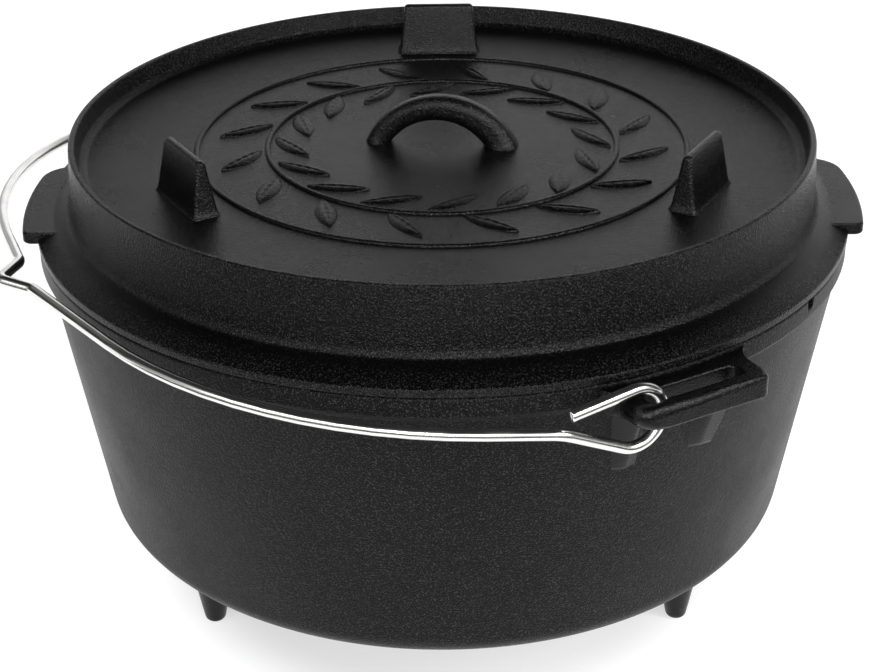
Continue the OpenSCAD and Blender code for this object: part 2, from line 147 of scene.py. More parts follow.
def grid_quads(rows: int, cols: int, wrap_rows: bool = False, wrap_cols: bool = True) -> Array:
    """Quads between the points of a grid that is counted row by row.

    Args:
        rows: Number of rows.
        cols: Number of points in a row.
        wrap_rows: Whether the last row joins the first.
        wrap_cols: Whether the last point of a row joins its first.

    Returns:
        Four point numbers a quad.
    """
    row_starts = np.arange(rows if wrap_rows else rows - 1)
    col_starts = np.arange(cols if wrap_cols else cols - 1)
    row, col = np.meshgrid(row_starts, col_starts, indexing="ij")
    next_row, next_col = (row + 1) % rows, (col + 1) % cols
    here, after = row * cols, next_row * cols
    corners = [here + col, here + next_col, after + next_col, after + col]
    return np.stack(corners, axis=-1).reshape(-1, 4)


def hoop(rings: Array) -> Surface:
    """Surface through closed rings whose last ring joins the first.

    Args:
        rings: Points as rows of rings, rows by points by 3.

    Returns:
        The surface, closed both ways round.
    """
    rows, cols = rings.shape[:2]
    return Surface(rings.reshape(-1, 3), grid_quads(rows, cols, wrap_rows=True)).outward()


def tube(rings: Array, poles: Array | None = None) -> Surface:
    """Surface through closed rings, with each end closed by a fan to a pole.

    Args:
        rings: Points as rows of rings, rows by points by 3.
        poles: First and last pole, or None for the middles of the first and last ring.

    Returns:
        The closed surface.
    """
    rows, cols = rings.shape[:2]
    if poles is None:
        poles = np.stack([rings[0].mean(axis=0), rings[-1].mean(axis=0)])
    here = np.arange(cols)
    after = (here + 1) % cols
    start = np.stack([np.full(cols, rows * cols), after, here], axis=-1)
    end = np.stack([np.full(cols, rows * cols + 1), here, after], axis=-1)
    end[:, 1:] += (rows - 1) * cols
    points = np.concatenate([rings.reshape(-1, 3), poles])
    return Surface(points, grid_quads(rows, cols), np.concatenate([start, end])).outward()


def joined(parts: list[Surface]) -> Surface:
    """Several surfaces as one, with the point numbers of each shifted past those before it.

    Args:
        parts: The surfaces.

    Returns:
        One surface that holds them all.
    """
    shifts = np.cumsum([0] + [len(part.points) for part in parts[:-1]])
    return Surface(
        np.concatenate([part.points for part in parts]),
        np.concatenate([part.quads + shift for part, shift in zip(parts, shifts)]),
        np.concatenate([part.triangles + shift for part, shift in zip(parts, shifts)]),
    )


def rounded_line(corners: Array, radii: Array, span: float = 7.0, arc_step: float = 8.0) -> Array:
    """Line through corners, with an arc of a given radius at each.

    At a corner that turns by angle a, the arc of radius r starts r tan(a / 2) before the corner and is
    swept from the way in to the way out. Straight stretches are split into pieces that shorten towards
    the arcs.

    Args:
        corners: Corner points in two or three dimensions; the first and last are the ends.
        radii: Radius at each corner.
        span: Longest piece of a straight stretch.
        arc_step: Widest step along an arc, in degrees.

    Returns:
        Points along the line.
    """
    ways = unit(np.diff(corners, axis=0))
    stretches = [corners[:1]]
    for corner, radius, way_in, way_out in zip(corners[1:-1], radii[1:-1], ways[:-1], ways[1:]):
        cosine = float(np.clip(way_in @ way_out, -1, 1))
        turn = math.acos(cosine)
        side = unit(way_out - way_in * cosine)
        centre = corner - way_in * radius * math.tan(turn / 2) + side * radius
        steps = max(2, math.ceil(math.degrees(turn) / arc_step))
        angle = np.linspace(0, turn, steps + 1)[:, None]
        arc = centre - side * radius * np.cos(angle) + way_in * radius * np.sin(angle)
        stretches += [straight(stretches[-1][-1], arc[0], span), arc]
    stretches += [straight(stretches[-1][-1], corners[-1], span), corners[-1:]]
    line = np.concatenate(stretches)
    apart = np.linalg.norm(np.diff(line, axis=0), axis=1) > 1e-6
    return line[np.concatenate([[True], apart])]


def straight(start: Array, end: Array, span: float) -> Array:
    """Points between two ends, spaced as a cosine so that they crowd towards both ends.

    Args:
        start: First end.
        end: Last end.
        span: Longest piece between the points.

    Returns:
        The points, without the two ends.
    """
    pieces = 2 + math.ceil(float(np.linalg.norm(end - start)) / span)
    share = 0.5 - 0.5 * np.cos(np.pi * np.arange(1, pieces) / pieces)
    return start + share[:, None] * (end - start)


def revolved(profile: Array, turns: Array) -> Array:
    """Rings of a surface of revolution about Z.

    A profile point (r, z) becomes the ring (r cos t, r sin t, z) over the turns t.

    Args:
        profile: Radius and height of each profile point.
        turns: Turns in radians.

    Returns:
        One ring of points for each profile point.
    """
    r, z = profile[:, :1], profile[:, 1:]
    level = np.broadcast_to(z, (len(z), len(turns)))
    return np.stack([r * np.cos(turns), r * np.sin(turns), level], axis=-1)


def turned_casting(corners: Array, turns: Array, span: float = 7.0) -> Surface:
    """Closed surface of revolution about Z of a rounded profile that starts and ends on the axis.

    Args:
        corners: Radius, height and rounding of each corner of the profile.
        turns: Turns in radians.
        span: Longest piece of a straight stretch of the profile.

    Returns:
        The closed surface.
    """
    profile = rounded_line(corners[:, :2], corners[:, 2], span)
    poles = np.array([[0, 0, profile[0, 1]], [0, 0, profile[-1, 1]]])
    return tube(revolved(profile[1:-1], turns), poles)


def full_turn(count: int) -> Array:
    """Evenly spaced turns of a whole circle, in radians."""
    return np.linspace(0, 2 * np.pi, count, endpoint=False)


def rounded_rectangle(low: tuple, high: tuple, radii: tuple, steps: int = 6) -> tuple[Array, Array]:
    """Rounded rectangles, one a row, each run round as corner arcs joined by flat sides.

    Where two neighbouring radii are longer than the side between them, all four shrink by one share.

    Args:
        low: Lowest a and lowest b, as arrays of one value a row.
        high: Highest a and highest b, as arrays of one value a row.
        radii: Radius at (high a, low b), (high, high), (low, high) and (low, low), one value a row.
        steps: Steps along each corner arc.

    Returns:
        The a and b coordinates of the points, rows by points.
    """
    a_low, b_low, a_high, b_high, *corner_r = np.broadcast_arrays(*low, *high, *radii)
    sides = (b_high - b_low, a_high - a_low) * 2
    pairs = zip(corner_r, corner_r[1:] + corner_r[:1], sides)
    share = np.min([side / np.maximum(one + other, 1e-9) for one, other, side in pairs], axis=0)
    ends = (
        (a_high, b_low, -1, 1), (a_high, b_high, -1, -1), (a_low, b_high, 1, -1), (a_low, b_low, 1, 1)
    )
    arcs = []
    for k, ((a, b, a_side, b_side), radius) in enumerate(zip(ends, corner_r)):
        r = (radius * np.minimum(1, share))[:, None]
        angle = np.radians(90 * (k - 1) + np.linspace(0, 90, steps + 1))
        across = a[:, None] + r * (a_side + np.cos(angle))
        arcs.append(np.stack([across, b[:, None] + r * (b_side + np.sin(angle))]))
    parts = []
    for arc, following in zip(arcs, arcs[1:] + arcs[:1]):
        flat = arc[:, :, -1:] + FLAT_SHARES * (following[:, :, :1] - arc[:, :, -1:])
        parts += [arc, flat]
    ring = np.concatenate(parts, axis=2)
    return ring[0], ring[1]


def lug_rings(inner: Array, outer: Array, low: float, high: float, radii: tuple) -> Array:
    """Rounded sections of a flat lug, each standing on the line from an inner to an outer plan point.

    Args:
        inner: Plan points of the inner edge.
        outer: Plan points of the outer edge, matched with the inner ones.
        low: Height of the underside.
        high: Height of the top.
        radii: Edge radius at the outer bottom, outer top, inner top and inner bottom, one a plan point.

    Returns:
        Rings of points, one for each pair of plan points.
    """
    reach = np.linalg.norm(outer - inner, axis=1)
    way = unit(outer - inner)
    still = np.zeros(len(inner))
    a, b = rounded_rectangle((still, still + low), (reach, still + high), radii)
    plan = inner[:, None, :] + a[:, :, None] * way[:, None, :]
    return np.concatenate([plan, b[:, :, None]], axis=2)


def matched_loop(halves: tuple, span: tuple, radii: tuple) -> Array:
    """Plan loop of a rounded rectangle, with the same count of points whatever its size.

    Args:
        halves: Its reach towards -X and towards +X.
        span: Its lowest and its highest Y.
        radii: Radius of the two corners towards -X, and of the two towards +X.

    Returns:
        Points round the loop, from the near left corner towards +X.
    """
    (left, right), (near, far), (left_r, right_r) = halves, span, radii
    arc = np.radians(np.linspace(0, 90, LOOP_CORNER)[1:-1])
    c, s = np.cos(arc), np.sin(arc)
    side = np.linspace(left_r - left, right - right_r, LOOP_SIDE)
    right_y = np.linspace(near + right_r, far - right_r, LOOP_SIDE)
    left_y = np.linspace(far - left_r, near + left_r, LOOP_SIDE)
    whole = np.ones(LOOP_SIDE)
    x = [side, right - right_r * (1 - s), right * whole, right - right_r * (1 - c)]
    y = [near * whole, near + right_r * (1 - c), right_y, far - right_r * (1 - s)]
    x += [side[::-1], left_r * (1 - s) - left, -left * whole, left_r * (1 - c) - left]
    y += [far * whole, far - left_r * (1 - c), left_y, near + left_r * (1 - s)]
    return np.stack([np.concatenate(x), np.concatenate(y)], axis=1)


class NodeSheet:
    """A node tree that is filled in code, one named call a node."""

    def __init__(self, tree: bpy.types.NodeTree) -> None:
        """Starts on an empty tree."""
        self.tree = tree
        self.tree.nodes.clear()

    def add(self, kind: str, values: dict | None = None, **settings: object) -> bpy.types.Node:
        """Adds a node.

        Args:
            kind: Blender's name of the node type.
            values: Input sockets to set or link, by name or number.
            settings: Properties of the node to set.

        Returns:
            The node.
        """
        node = self.tree.nodes.new(kind)
        for key, value in settings.items():
            setattr(node, key, value)
        for key, value in (values or {}).items():
            self.feed(node, key, value)
        return node

    def feed(self, node: bpy.types.Node, key: str | int, value: object) -> None:
        """Links a socket to an input of a node, or sets the input to a plain value."""
        if isinstance(value, bpy.types.NodeSocket):
            self.tree.links.new(value, node.inputs[key])
        else:
            node.inputs[key].default_value = value

    def math(self, operation: str, first: object, second: object) -> bpy.types.NodeSocket:
        """Result of a math node on two sockets or numbers."""
        return self.add("ShaderNodeMath", {0: first, 1: second}, operation=operation).outputs[0]

    def spread(
        self, value: object, low: float, high: float, to_low: float, to_high: float
    ) -> bpy.types.NodeSocket:
        """A value carried smoothly from one range to another and held at its ends.

        Args:
            value: Socket or number to carry.
            low: Start of its range.
            high: End of its range.
            to_low: Result at the start and before it.
            to_high: Result at the end and past it.

        Returns:
            Socket of the result.
        """
        node = self.add(
            "ShaderNodeMapRange",
            {"Value": value, "From Min": low, "From Max": high, "To Min": to_low, "To Max": to_high},
            interpolation_type="SMOOTHSTEP",
        )
        return node.outputs["Result"]

    def noise(
        self, vector: bpy.types.NodeSocket, scale: float, detail: float = 1.0, roughness: float = 0.5
    ) -> bpy.types.NodeSocket:
        """Result of a noise texture on some coordinates."""
        values = {"Vector": vector, "Scale": scale, "Detail": detail, "Roughness": roughness}
        return self.add("ShaderNodeTexNoise", values).outputs["Fac"]

    def blend(self, share: object, first: tuple, second: tuple) -> bpy.types.NodeSocket:
        """Colour mixed from two colours, from all of the first at share 0 to all of the second at 1."""
        return self.add("ShaderNodeMix", {0: share, 6: first, 7: second}, data_type="RGBA").outputs[2]

    def attribute(self, name: str, output: str) -> bpy.types.NodeSocket:
        """Output of a mesh attribute."""
        node = self.add("ShaderNodeAttribute", attribute_name=name, attribute_type="GEOMETRY")
        return node.outputs[output]

    def finish(self, shader: bpy.types.Node, kind: str = "ShaderNodeOutputMaterial") -> None:
        """Links a shader to a new output node."""
        self.add(kind, {"Surface": shader.outputs[0]})


def grey(level: float) -> tuple[float, float, float, float]:
    """Opaque neutral colour of a level."""
    return (level, level, level, 1.0)


def new_material(name: str) -> tuple[bpy.types.Material, NodeSheet]:
    """New material with an empty node tree.

    Args:
        name: Name of the material.

    Returns:
        The material, and the sheet of its node tree.
    """
    material = bpy.data.materials.new(name)
    material.use_nodes = True
    return material, NodeSheet(material.node_tree)


def placed(name: str, data: bpy.types.ID) -> bpy.types.Object:
    """New object of a mesh, lamp or camera, linked to the scene.

    Args:
        name: Name of the object.
        data: What it shows.

    Returns:
        The object.
    """
    item = bpy.data.objects.new(name, data)
    bpy.context.scene.collection.objects.link(item)
    return item


@dataclass(frozen=True)
class SandSkin:
    """Skin of a sand casting, made of noise on object coordinates.

    Attributes:
        fine_scale: Fineness of the fine grain, a metre.
        sand_scale: Fineness of the coarser sand marks.
        ripple_scale: Fineness of the slow ripple.
        season_scale: Fineness of the patches of the oil finish.
        fine_share: Height of the fine grain, as a share of the sand marks.
        ripple_share: Height of the ripple, as a share of the sand marks.
        season_range: Noise of a fully oiled and of a dry patch.
        crest_range: Noise at which a crest of a sand mark starts and at which it is full.
    """

    fine_scale: float = 3000.0
    sand_scale: float = 1500.0
    ripple_scale: float = 60.0
    season_scale: float = 18.0
    fine_share: float = 0.1
    ripple_share: float = 0.25
    season_range: tuple[float, float] = (0.3, 0.7)
    crest_range: tuple[float, float] = (0.55, 0.68)

    def group(self) -> bpy.types.NodeTree:
        """Node group of the skin.

        Height is fine grain, plus coarser sand marks by a share that differs from place to place, plus
        a slow ripple. Season is the slow patchiness of the oil finish, and Crest marks the tops of the
        sand marks.

        Returns:
            The group, with inputs Vector and Coarse, the share of the sand marks, and those outputs.
        """
        tree = bpy.data.node_groups.new("sand_skin", "ShaderNodeTree")
        sheet = NodeSheet(tree)
        tree.interface.new_socket("Vector", in_out="INPUT", socket_type="NodeSocketVector")
        tree.interface.new_socket("Coarse", in_out="INPUT", socket_type="NodeSocketFloat")
        for name in ("Height", "Season", "Crest"):
            tree.interface.new_socket(name, in_out="OUTPUT", socket_type="NodeSocketFloat")
        given = sheet.add("NodeGroupInput").outputs
        fine = sheet.noise(given["Vector"], self.fine_scale)
        sand = sheet.noise(given["Vector"], self.sand_scale)
        ripple = sheet.noise(given["Vector"], self.ripple_scale)
        season = sheet.noise(given["Vector"], self.season_scale, detail=4.0, roughness=0.6)
        marks = sheet.math("MULTIPLY", sand, given["Coarse"])
        grain = sheet.math("ADD", sheet.math("MULTIPLY", fine, self.fine_share), marks)
        height = sheet.math("ADD", grain, sheet.math("MULTIPLY", ripple, self.ripple_share))
        patches = sheet.spread(season, *self.season_range, 0.0, 1.0)
        crest = sheet.spread(sand, *self.crest_range, 0.0, 1.0)
        sheet.add("NodeGroupOutput", {"Height": height, "Season": patches, "Crest": crest})
        return tree


@dataclass(frozen=True)
class CastIron:
    """Black seasoned cast iron.

    Attributes:
        name: Name of the material.
        tone: Grey of the seasoned skin.
        shine: Strength of its reflection, where 0.5 is that of plain varnish.
        gloss: Roughness of oiled and of dry patches.
        worn: Grey that the worn crests of the sand marks add.
        polish: Roughness taken off the worn crests.
        depth: Height of the grain, in millimetres.
    """

    name: str
    tone: float = 0.0015
    shine: float = 0.17
    worn: float = 0.02
    gloss: tuple[float, float] = (0.2, 0.28)
    polish: float = 0.04
    depth: float = 0.5

    def material(self, skin: bpy.types.NodeTree) -> bpy.types.Material:
        """Material of this iron.

        Args:
            skin: Group of the sand-cast skin.

        Returns:
            The material.
        """
        material, sheet = new_material(self.name)
        place = sheet.add("ShaderNodeTexCoord").outputs["Object"]
        coarse = sheet.attribute(COARSE, "Fac")
        grain = sheet.add("ShaderNodeGroup", {"Vector": place, "Coarse": coarse}, node_tree=skin)
        crest = grain.outputs["Crest"]
        dry = sheet.spread(grain.outputs["Season"], 0, 1, *self.gloss)
        rough = sheet.math("SUBTRACT", dry, sheet.math("MULTIPLY", crest, self.polish))
        bare = sheet.math("MULTIPLY", crest, coarse)
        height = {"Strength": 1.0, "Distance": self.depth * MM, "Height": grain.outputs["Height"]}
        surface = {
            "Base Color": sheet.blend(bare, grey(self.tone), grey(self.tone + self.worn)),
            "Specular IOR Level": self.shine,
            "Roughness": rough,
            "Normal": sheet.add("ShaderNodeBump", height).outputs["Normal"],
        }
        sheet.finish(sheet.add("ShaderNodeBsdfPrincipled", surface))
        return material


@dataclass(frozen=True)
class DrawnSteel:
    """Bright drawn steel wire with fine lines along it.

    Attributes:
        name: Name of the material.
        tone: Grey of the metal.
        dull: Share of the tone that is left on worn lines.
        tint: Share of red, green and blue in the grey.
        gloss: Roughness between and on the drawing lines.
        line_scale: Fineness of the lines round the wire, twice, and along it.
        line_share: Share of the lines in the wear, of which smudges are the rest.
        smudge_scale: Fineness of the smudges, a metre.
        line_depth: Depth of the lines, in millimetres.
        line_bump: Strength at which the lines catch the light.
        dull_range: Wear at which the tone starts to dull and at which it is dull.
        rough_range: Wear at which the roughness starts to grow and at which it is full.
    """

    name: str
    tone: float = 0.88
    dull: float = 0.88
    tint: tuple[float, float, float] = (1.0, 0.995, 0.98)
    gloss: tuple[float, float] = (0.14, 0.26)
    line_scale: tuple[float, float, float] = (7.0, 7.0, 0.05)
    line_share: float = 0.6
    smudge_scale: float = 90.0
    line_depth: float = 0.05
    line_bump: float = 0.12
    dull_range: tuple[float, float] = (0.35, 0.7)
    rough_range: tuple[float, float] = (0.35, 0.65)

    def colour(self, share: float) -> tuple[float, ...]:
        """Tinted colour of a share of the tone."""
        return (*[self.tone * share * part for part in self.tint], 1.0)

    def material(self) -> bpy.types.Material:
        """Material of this steel.

        Returns:
            The material.
        """
        material, sheet = new_material(self.name)
        along = {"Vector": sheet.attribute(WIRE_LAY, "Vector"), "Scale": self.line_scale}
        lines = sheet.noise(sheet.add("ShaderNodeMapping", along).outputs[0], 1.0, detail=3.0)
        place = sheet.add("ShaderNodeTexCoord").outputs["Object"]
        smudge = sheet.noise(place, self.smudge_scale, detail=2.0)
        wear = sheet.math("ADD", sheet.math("MULTIPLY", lines, self.line_share),
                          sheet.math("MULTIPLY", smudge, 1 - self.line_share))
        worn = sheet.spread(wear, *self.dull_range, 0.0, 1.0)
        height = {"Strength": self.line_bump, "Distance": self.line_depth * MM, "Height": lines}
        surface = {
            "Base Color": sheet.blend(worn, self.colour(1.0), self.colour(self.dull)),
            "Metallic": 1.0,
            "Roughness": sheet.spread(wear, *self.rough_range, *self.gloss),
            "Normal": sheet.add("ShaderNodeBump", height).outputs["Normal"],
        }
        sheet.finish(sheet.add("ShaderNodeBsdfPrincipled", surface))
        return material


@dataclass
class Assembly:
    """A body of the oven, with a finish for its main piece and one for the lugs that stand off it."""

    body: ClassVar[Body]
    slot: ClassVar[Slot]
    finish: bpy.types.Material
    lugs: bpy.types.Material | None = None

    def dress(
        self,
        name: str,
        surface: Surface,
        nodes: tuple[str, ...] = (),
        masks: dict[str, Array] | None = None,
        lug: bool = False,
    ) -> bpy.types.Object:
        """Makes a smooth mesh of a surface, in metres, that rides on the body and wears its finish.

        Args:
            name: Name of the piece.
            surface: Its closed surface in millimetres.
            nodes: Nodes of the frame that it stands for.
            masks: Mesh attributes by name, each with a number or a vector for every point.
            lug: Whether the piece wears the finish of the lugs.

        Returns:
            The new object.
        """
        mesh = bpy.data.meshes.new(name)
        faces = surface.quads.tolist() + surface.triangles.tolist()
        mesh.from_pydata((surface.points * MM).tolist(), [], faces)
        mesh.polygons.foreach_set("use_smooth", np.ones(len(mesh.polygons), bool))
        for key, values in (masks or {}).items():
            kind, part = ("FLOAT", "value") if values.ndim == 1 else ("FLOAT_VECTOR", "vector")
            attribute = mesh.attributes.new(key, kind, "POINT")
            attribute.data.foreach_set(part, values.astype(np.float32).ravel())
        mesh.materials.append(self.lugs if lug else self.finish)
        mesh.update()
        piece = placed(name, mesh)
        if nodes:
            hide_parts(*nodes)
        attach(piece, self.body.value)
        LOG.info("%s: %d points, %d faces", name, len(mesh.vertices), len(mesh.polygons))
        return piece

    def sandy(self, surface: Surface, share: float) -> dict[str, Array]:
        """Mask that gives every point of a surface the same share of sand marks."""
        return {COARSE: np.full(len(surface.points), share)}


@dataclass
class Pot(Assembly):
    """The pot casting: its turned shell, two slotted ears with ribs, and three peg feet."""

    body: ClassVar[Body] = Body.POT
    slot: ClassVar[Slot] = Slot.POT
    shell_turns: ClassVar[int] = 300
    notch_turns: ClassVar[int] = 31
    rib_grid: ClassVar[tuple[int, int]] = (24, 41)
    foot_turns: ClassVar[int] = 48
    band_h: float = 9.0
    band_out: float = 2.0
    band_foot_r: float = 2.5
    band_edge_r: float = 1.5
    wall_t: float = 5.5
    floor_t: float = 6.5
    draft: float = 9.65
    corner_r: float = 12.0
    inner_r: float = 16.0
    edge_r: float = 1.2
    notch_w: float = 5.0
    notch_depth: float = 3.8
    notch_turn: float = -63.5
    notch_soft: float = 0.12
    notch_reach: float = 1.5
    ear_half: float = 30.0
    flat_half: float = 27.5
    flat_w: float = 8.0
    ear_flare: float = 12.0
    ear_root: float = 0.85
    hook_corner: float = 7.0
    flat_corner: float = 3.0
    ear_bar: float = 5.5
    bar_round: float = 4.4
    bar_least: float = 0.5
    bar_slant: tuple[float, float] = (0.2, 0.8)
    cheek_slant: tuple[float, float] = (0.5, 0.95)
    cheek_reach: tuple[float, float] = (-6.0, 1.0)
    crisp_r: float = 1.1
    slot_w: float = 7.5
    slot_corner: float = 2.5
    rib_w: float = 14.0
    rib_in: float = 5.0
    rib_h: float = 31.0
    rib_step: float = 0.6
    rib_taper: float = 3.5
    rib_soft: float = 8.0
    rib_early: float = 0.4
    rib_crisp: float = 1.4
    rib_lap: float = 2.0
    rib_set_back: float = 1.5
    rib_sink: float = 0.3
    rib_root: float = 4.0
    foot_end_r: float = 4.75
    foot_round: float = 3.0
    foot_fillet: float = 5.0
    foot_hollow_r: float = 9.0
    foot_flare: float = 1.6
    foot_flare_r: float = 0.4
    foot_sink: float = 0.6
    wall_sand: float = 0.75
    lug_sand: float = 0.4

    def __post_init__(self) -> None:
        """Takes the main levels and radii from the frame."""
        low, high = frame_span("pot_shell")
        self.rim_r, self.underside, self.top = high[0], low[2], high[2]
        ear_low, ear_high = frame_span("pot_ear_rear")
        self.ear_reach, self.ear_top = ear_high[1], ear_high[2]
        self.ear_bottom = ear_low[2] + self.rib_h
        self.slot_out = self.ear_reach - self.ear_bar
        self.slot_in = self.slot_out - self.slot_w

    def wall_r(self, z: Array | float) -> Array | float:
        """Outer radius of the drafted wall at a height."""
        band_z = self.top - self.band_h
        return self.rim_r - self.band_out - (band_z - z) * math.tan(math.radians(self.draft))

    def inside_r(self, z: float) -> float:
        """Inner radius of the wall at a height."""
        return self.wall_r(z) - self.wall_t / math.cos(math.radians(self.draft))

    def shell(self) -> Surface:
        """Turned shell: the profile r(z) of floor, wall and rim band about Z, with a probe notch.

        In the notch, heights above its floor are pressed down to it, by a share that falls off at its
        sides.

        Returns:
            The closed shell.
        """
        step_z = self.top - self.band_h
        floor_z = self.underside + self.floor_t
        foot_z, edge_z = step_z - self.band_out / 2, step_z + self.band_out / 2
        corners = np.array([
            [0, self.underside, 0],
            [self.wall_r(self.underside), self.underside, self.corner_r],
            [self.wall_r(foot_z), foot_z, self.band_foot_r],
            [self.rim_r, edge_z, self.band_edge_r],
            [self.rim_r, self.top, self.edge_r],
            [self.inside_r(self.top), self.top, self.edge_r],
            [self.inside_r(floor_z), floor_z, self.inner_r],
            [0, floor_z, 0],
        ])
        half_turn = self.notch_w / 2 / self.rim_r
        reach = np.linspace(-self.notch_reach, self.notch_reach, self.notch_turns)
        fine = math.radians(self.notch_turn) + half_turn * reach
        turns = np.unique(np.concatenate([full_turn(self.shell_turns), fine % (2 * np.pi)]))
        surface = turned_casting(corners, turns, span=9.0)
        x, y, z = surface.points.T
        off = np.angle(np.exp(1j * (np.arctan2(y, x) - math.radians(self.notch_turn))))
        sides = (1 - self.notch_soft) * half_turn, (1 + self.notch_soft) * half_turn
        share = 1 - smooth(np.abs(off), *sides)
        share = share * (np.hypot(x, y) > self.wall_r(floor_z) / 2)
        surface.points[:, 2] = z - share * np.maximum(0, z - (self.top - self.notch_depth))
        return surface

    def ear(self, hook_side: int) -> Surface:
        """Ear at +Y: a hoop of rounded sections round the slot, and two ribs below its cheeks.

        The cheek that carries the hook is rounded to half of the ear's thickness. Other edges are crisp,
        and the bar's upper outer edge grows rounder towards the hook.

        Args:
            hook_side: -1 or 1, for a hook on the cheek towards -X or +X.

        Returns:
            The closed ear.
        """
        thick = self.ear_top - self.ear_bottom
        halves = (self.ear_half, self.flat_half)[::-hook_side]
        ends = (self.ear_half - thick, self.flat_half - self.flat_w)[::-hook_side]
        corners = (self.hook_corner, self.flat_corner)[::-hook_side]
        inner = matched_loop(ends, (self.slot_in, self.slot_out), (self.slot_corner,) * 2)
        outer = matched_loop(halves, (self.slot_in - self.ear_flare, self.ear_reach), corners)
        outer = self.root_line(outer, halves)
        way = unit(outer - inner)
        toward = smooth(hook_side * outer[:, 0], -ends[0], ends[1])
        hook = self.bar_least + (1 - self.bar_least) * toward
        beside = smooth(outer[:, 1] - self.slot_in, *self.cheek_reach)
        cheek = smooth(hook_side * way[:, 0], *self.cheek_slant) * beside
        bar = smooth(way[:, 1], *self.bar_slant) * (1 - cheek) * hook
        crisp = self.crisp_r + (thick / 2 - self.crisp_r) * cheek
        radii = (crisp, crisp + (self.bar_round - self.crisp_r) * bar, crisp, crisp)
        lug = hoop(lug_rings(inner, outer, self.ear_bottom, self.ear_top, radii))
        return joined([lug, self.rib(hook_side, self.rib_soft), self.rib(-hook_side, self.rib_crisp)])

    def root_line(self, loop: Array, halves: tuple) -> Array:
        """The outer loop with flared sides, and its near side laid along the middle of the pot wall.

        Beside the slot's inner edge the half width grows as a quarter arc, x + f - sqrt(f^2 - d^2) for
        the distance d inward of that edge and the flare radius f.

        Args:
            loop: Plan points of the loop.
            halves: Its reach towards -X and towards +X.

        Returns:
            The plan points of the flared loop.
        """
        x, y = loop.T
        root_r = self.rim_r - 0.5 * self.wall_t
        inward = np.clip(self.slot_in - y, 0, self.ear_flare)
        grown = self.ear_flare - np.sqrt(self.ear_flare**2 - inward**2)
        wide = x + np.sign(x) * grown * np.clip(np.abs(x) / np.where(x < 0, *halves), 0, 1)
        deep = np.sqrt(root_r**2 - wide**2)
        near = smooth(inward, self.ear_root * self.ear_flare, self.ear_flare)
        return np.stack([wide, y + near * (deep - y)], axis=1)

    def rib(self, side: int, edge: float) -> Surface:
        """Rib below a cheek: a ridge on the wall, whose front runs straight from its foot to the ear.

        Across the rib, its stand-off from the wall is a smooth step up over the soft width at the inner
        side, times a smooth step down over the edge at the outer side, which leans outward by the taper.

        Args:
            side: -1 or 1, for the cheek towards -X or +X.
            edge: Width over which the outer side falls back to the wall.

        Returns:
            The closed rib.
        """
        foot_z = self.ear_bottom - self.rib_h
        rows, cols = self.rib_grid
        share = np.linspace(0, 1, rows)[:, None]
        z = foot_z + share * (self.rib_h + self.rib_lap)
        cheek = self.ear_half - (self.ear_top - self.ear_bottom) / 2
        flank = cheek - self.rib_in + 0.5 * self.rib_w - self.rib_taper * (1 - share)
        inside = cheek - self.rib_in - 0.5 * self.rib_w - self.rib_early * self.rib_soft
        x = inside + (flank - inside) * (1 - np.linspace(1, 0, cols) ** 2)
        wall = np.sqrt(self.wall_r(z) ** 2 - x**2) - self.rib_sink
        foot_y = self.wall_r(foot_z) + self.rib_step
        front = foot_y + share * (self.slot_in - self.rib_set_back - foot_y)
        stand = smooth(x, inside, inside + self.rib_soft) * (1 - smooth(x - flank, -edge, 0))
        y = wall + (front - wall) * stand
        across = np.concatenate([x, x[:, -1:], x[:, :1]], axis=1)
        root = wall - self.rib_root
        deep = np.concatenate([y, root[:, -1:], root[:, :1]], axis=1)
        return tube(np.stack([side * across, deep, np.broadcast_to(z, across.shape)], axis=2))

    def foot(self, node: str) -> Surface:
        """Peg foot below the floor: a tapered profile about its axis with a round end and a flared root.

        The root runs a little way up into the floor.

        Args:
            node: Node of the frame that gives the foot's place and height.

        Returns:
            The closed foot.
        """
        low, high = frame_span(node)
        middle, root_r = (low + high) / 2, (high[1] - low[1]) / 2
        taper = (root_r - self.foot_end_r) / (self.underside - self.foot_round)
        neck_z = self.underside - self.foot_fillet
        neck_r = self.foot_end_r + taper * (neck_z - self.foot_round)
        root_z = self.underside + self.foot_sink
        corners = np.array([
            [0, 0, 0],
            [self.foot_end_r - taper * self.foot_round, 0, self.foot_round],
            [neck_r, neck_z, self.foot_hollow_r],
            [root_r + self.foot_flare, root_z, self.foot_flare_r],
            [0, root_z, 0],
        ])
        surface = turned_casting(corners, full_turn(self.foot_turns), span=5.0)
        surface.points[:, :2] += middle[:2]
        return surface

    def build(self) -> None:
        """Makes and dresses the pieces of the pot."""
        shell = self.shell()
        self.dress("pot_casting", shell, ("pot_shell",), self.sandy(shell, self.wall_sand))
        for side, ear in (("rear", self.ear(-1)), ("front", self.ear(1).turned(180))):
            sand = self.sandy(ear, self.lug_sand)
            self.dress(f"pot_{side}_ear", ear, (f"pot_ear_{side}",), sand, lug=True)
        for side in ("left", "front", "rear"):
            node = f"pot_foot_{side}"
            foot = self.foot(node)
            self.dress(f"pot_{side}_foot", foot, (node,), self.sandy(foot, self.lug_sand), lug=True)


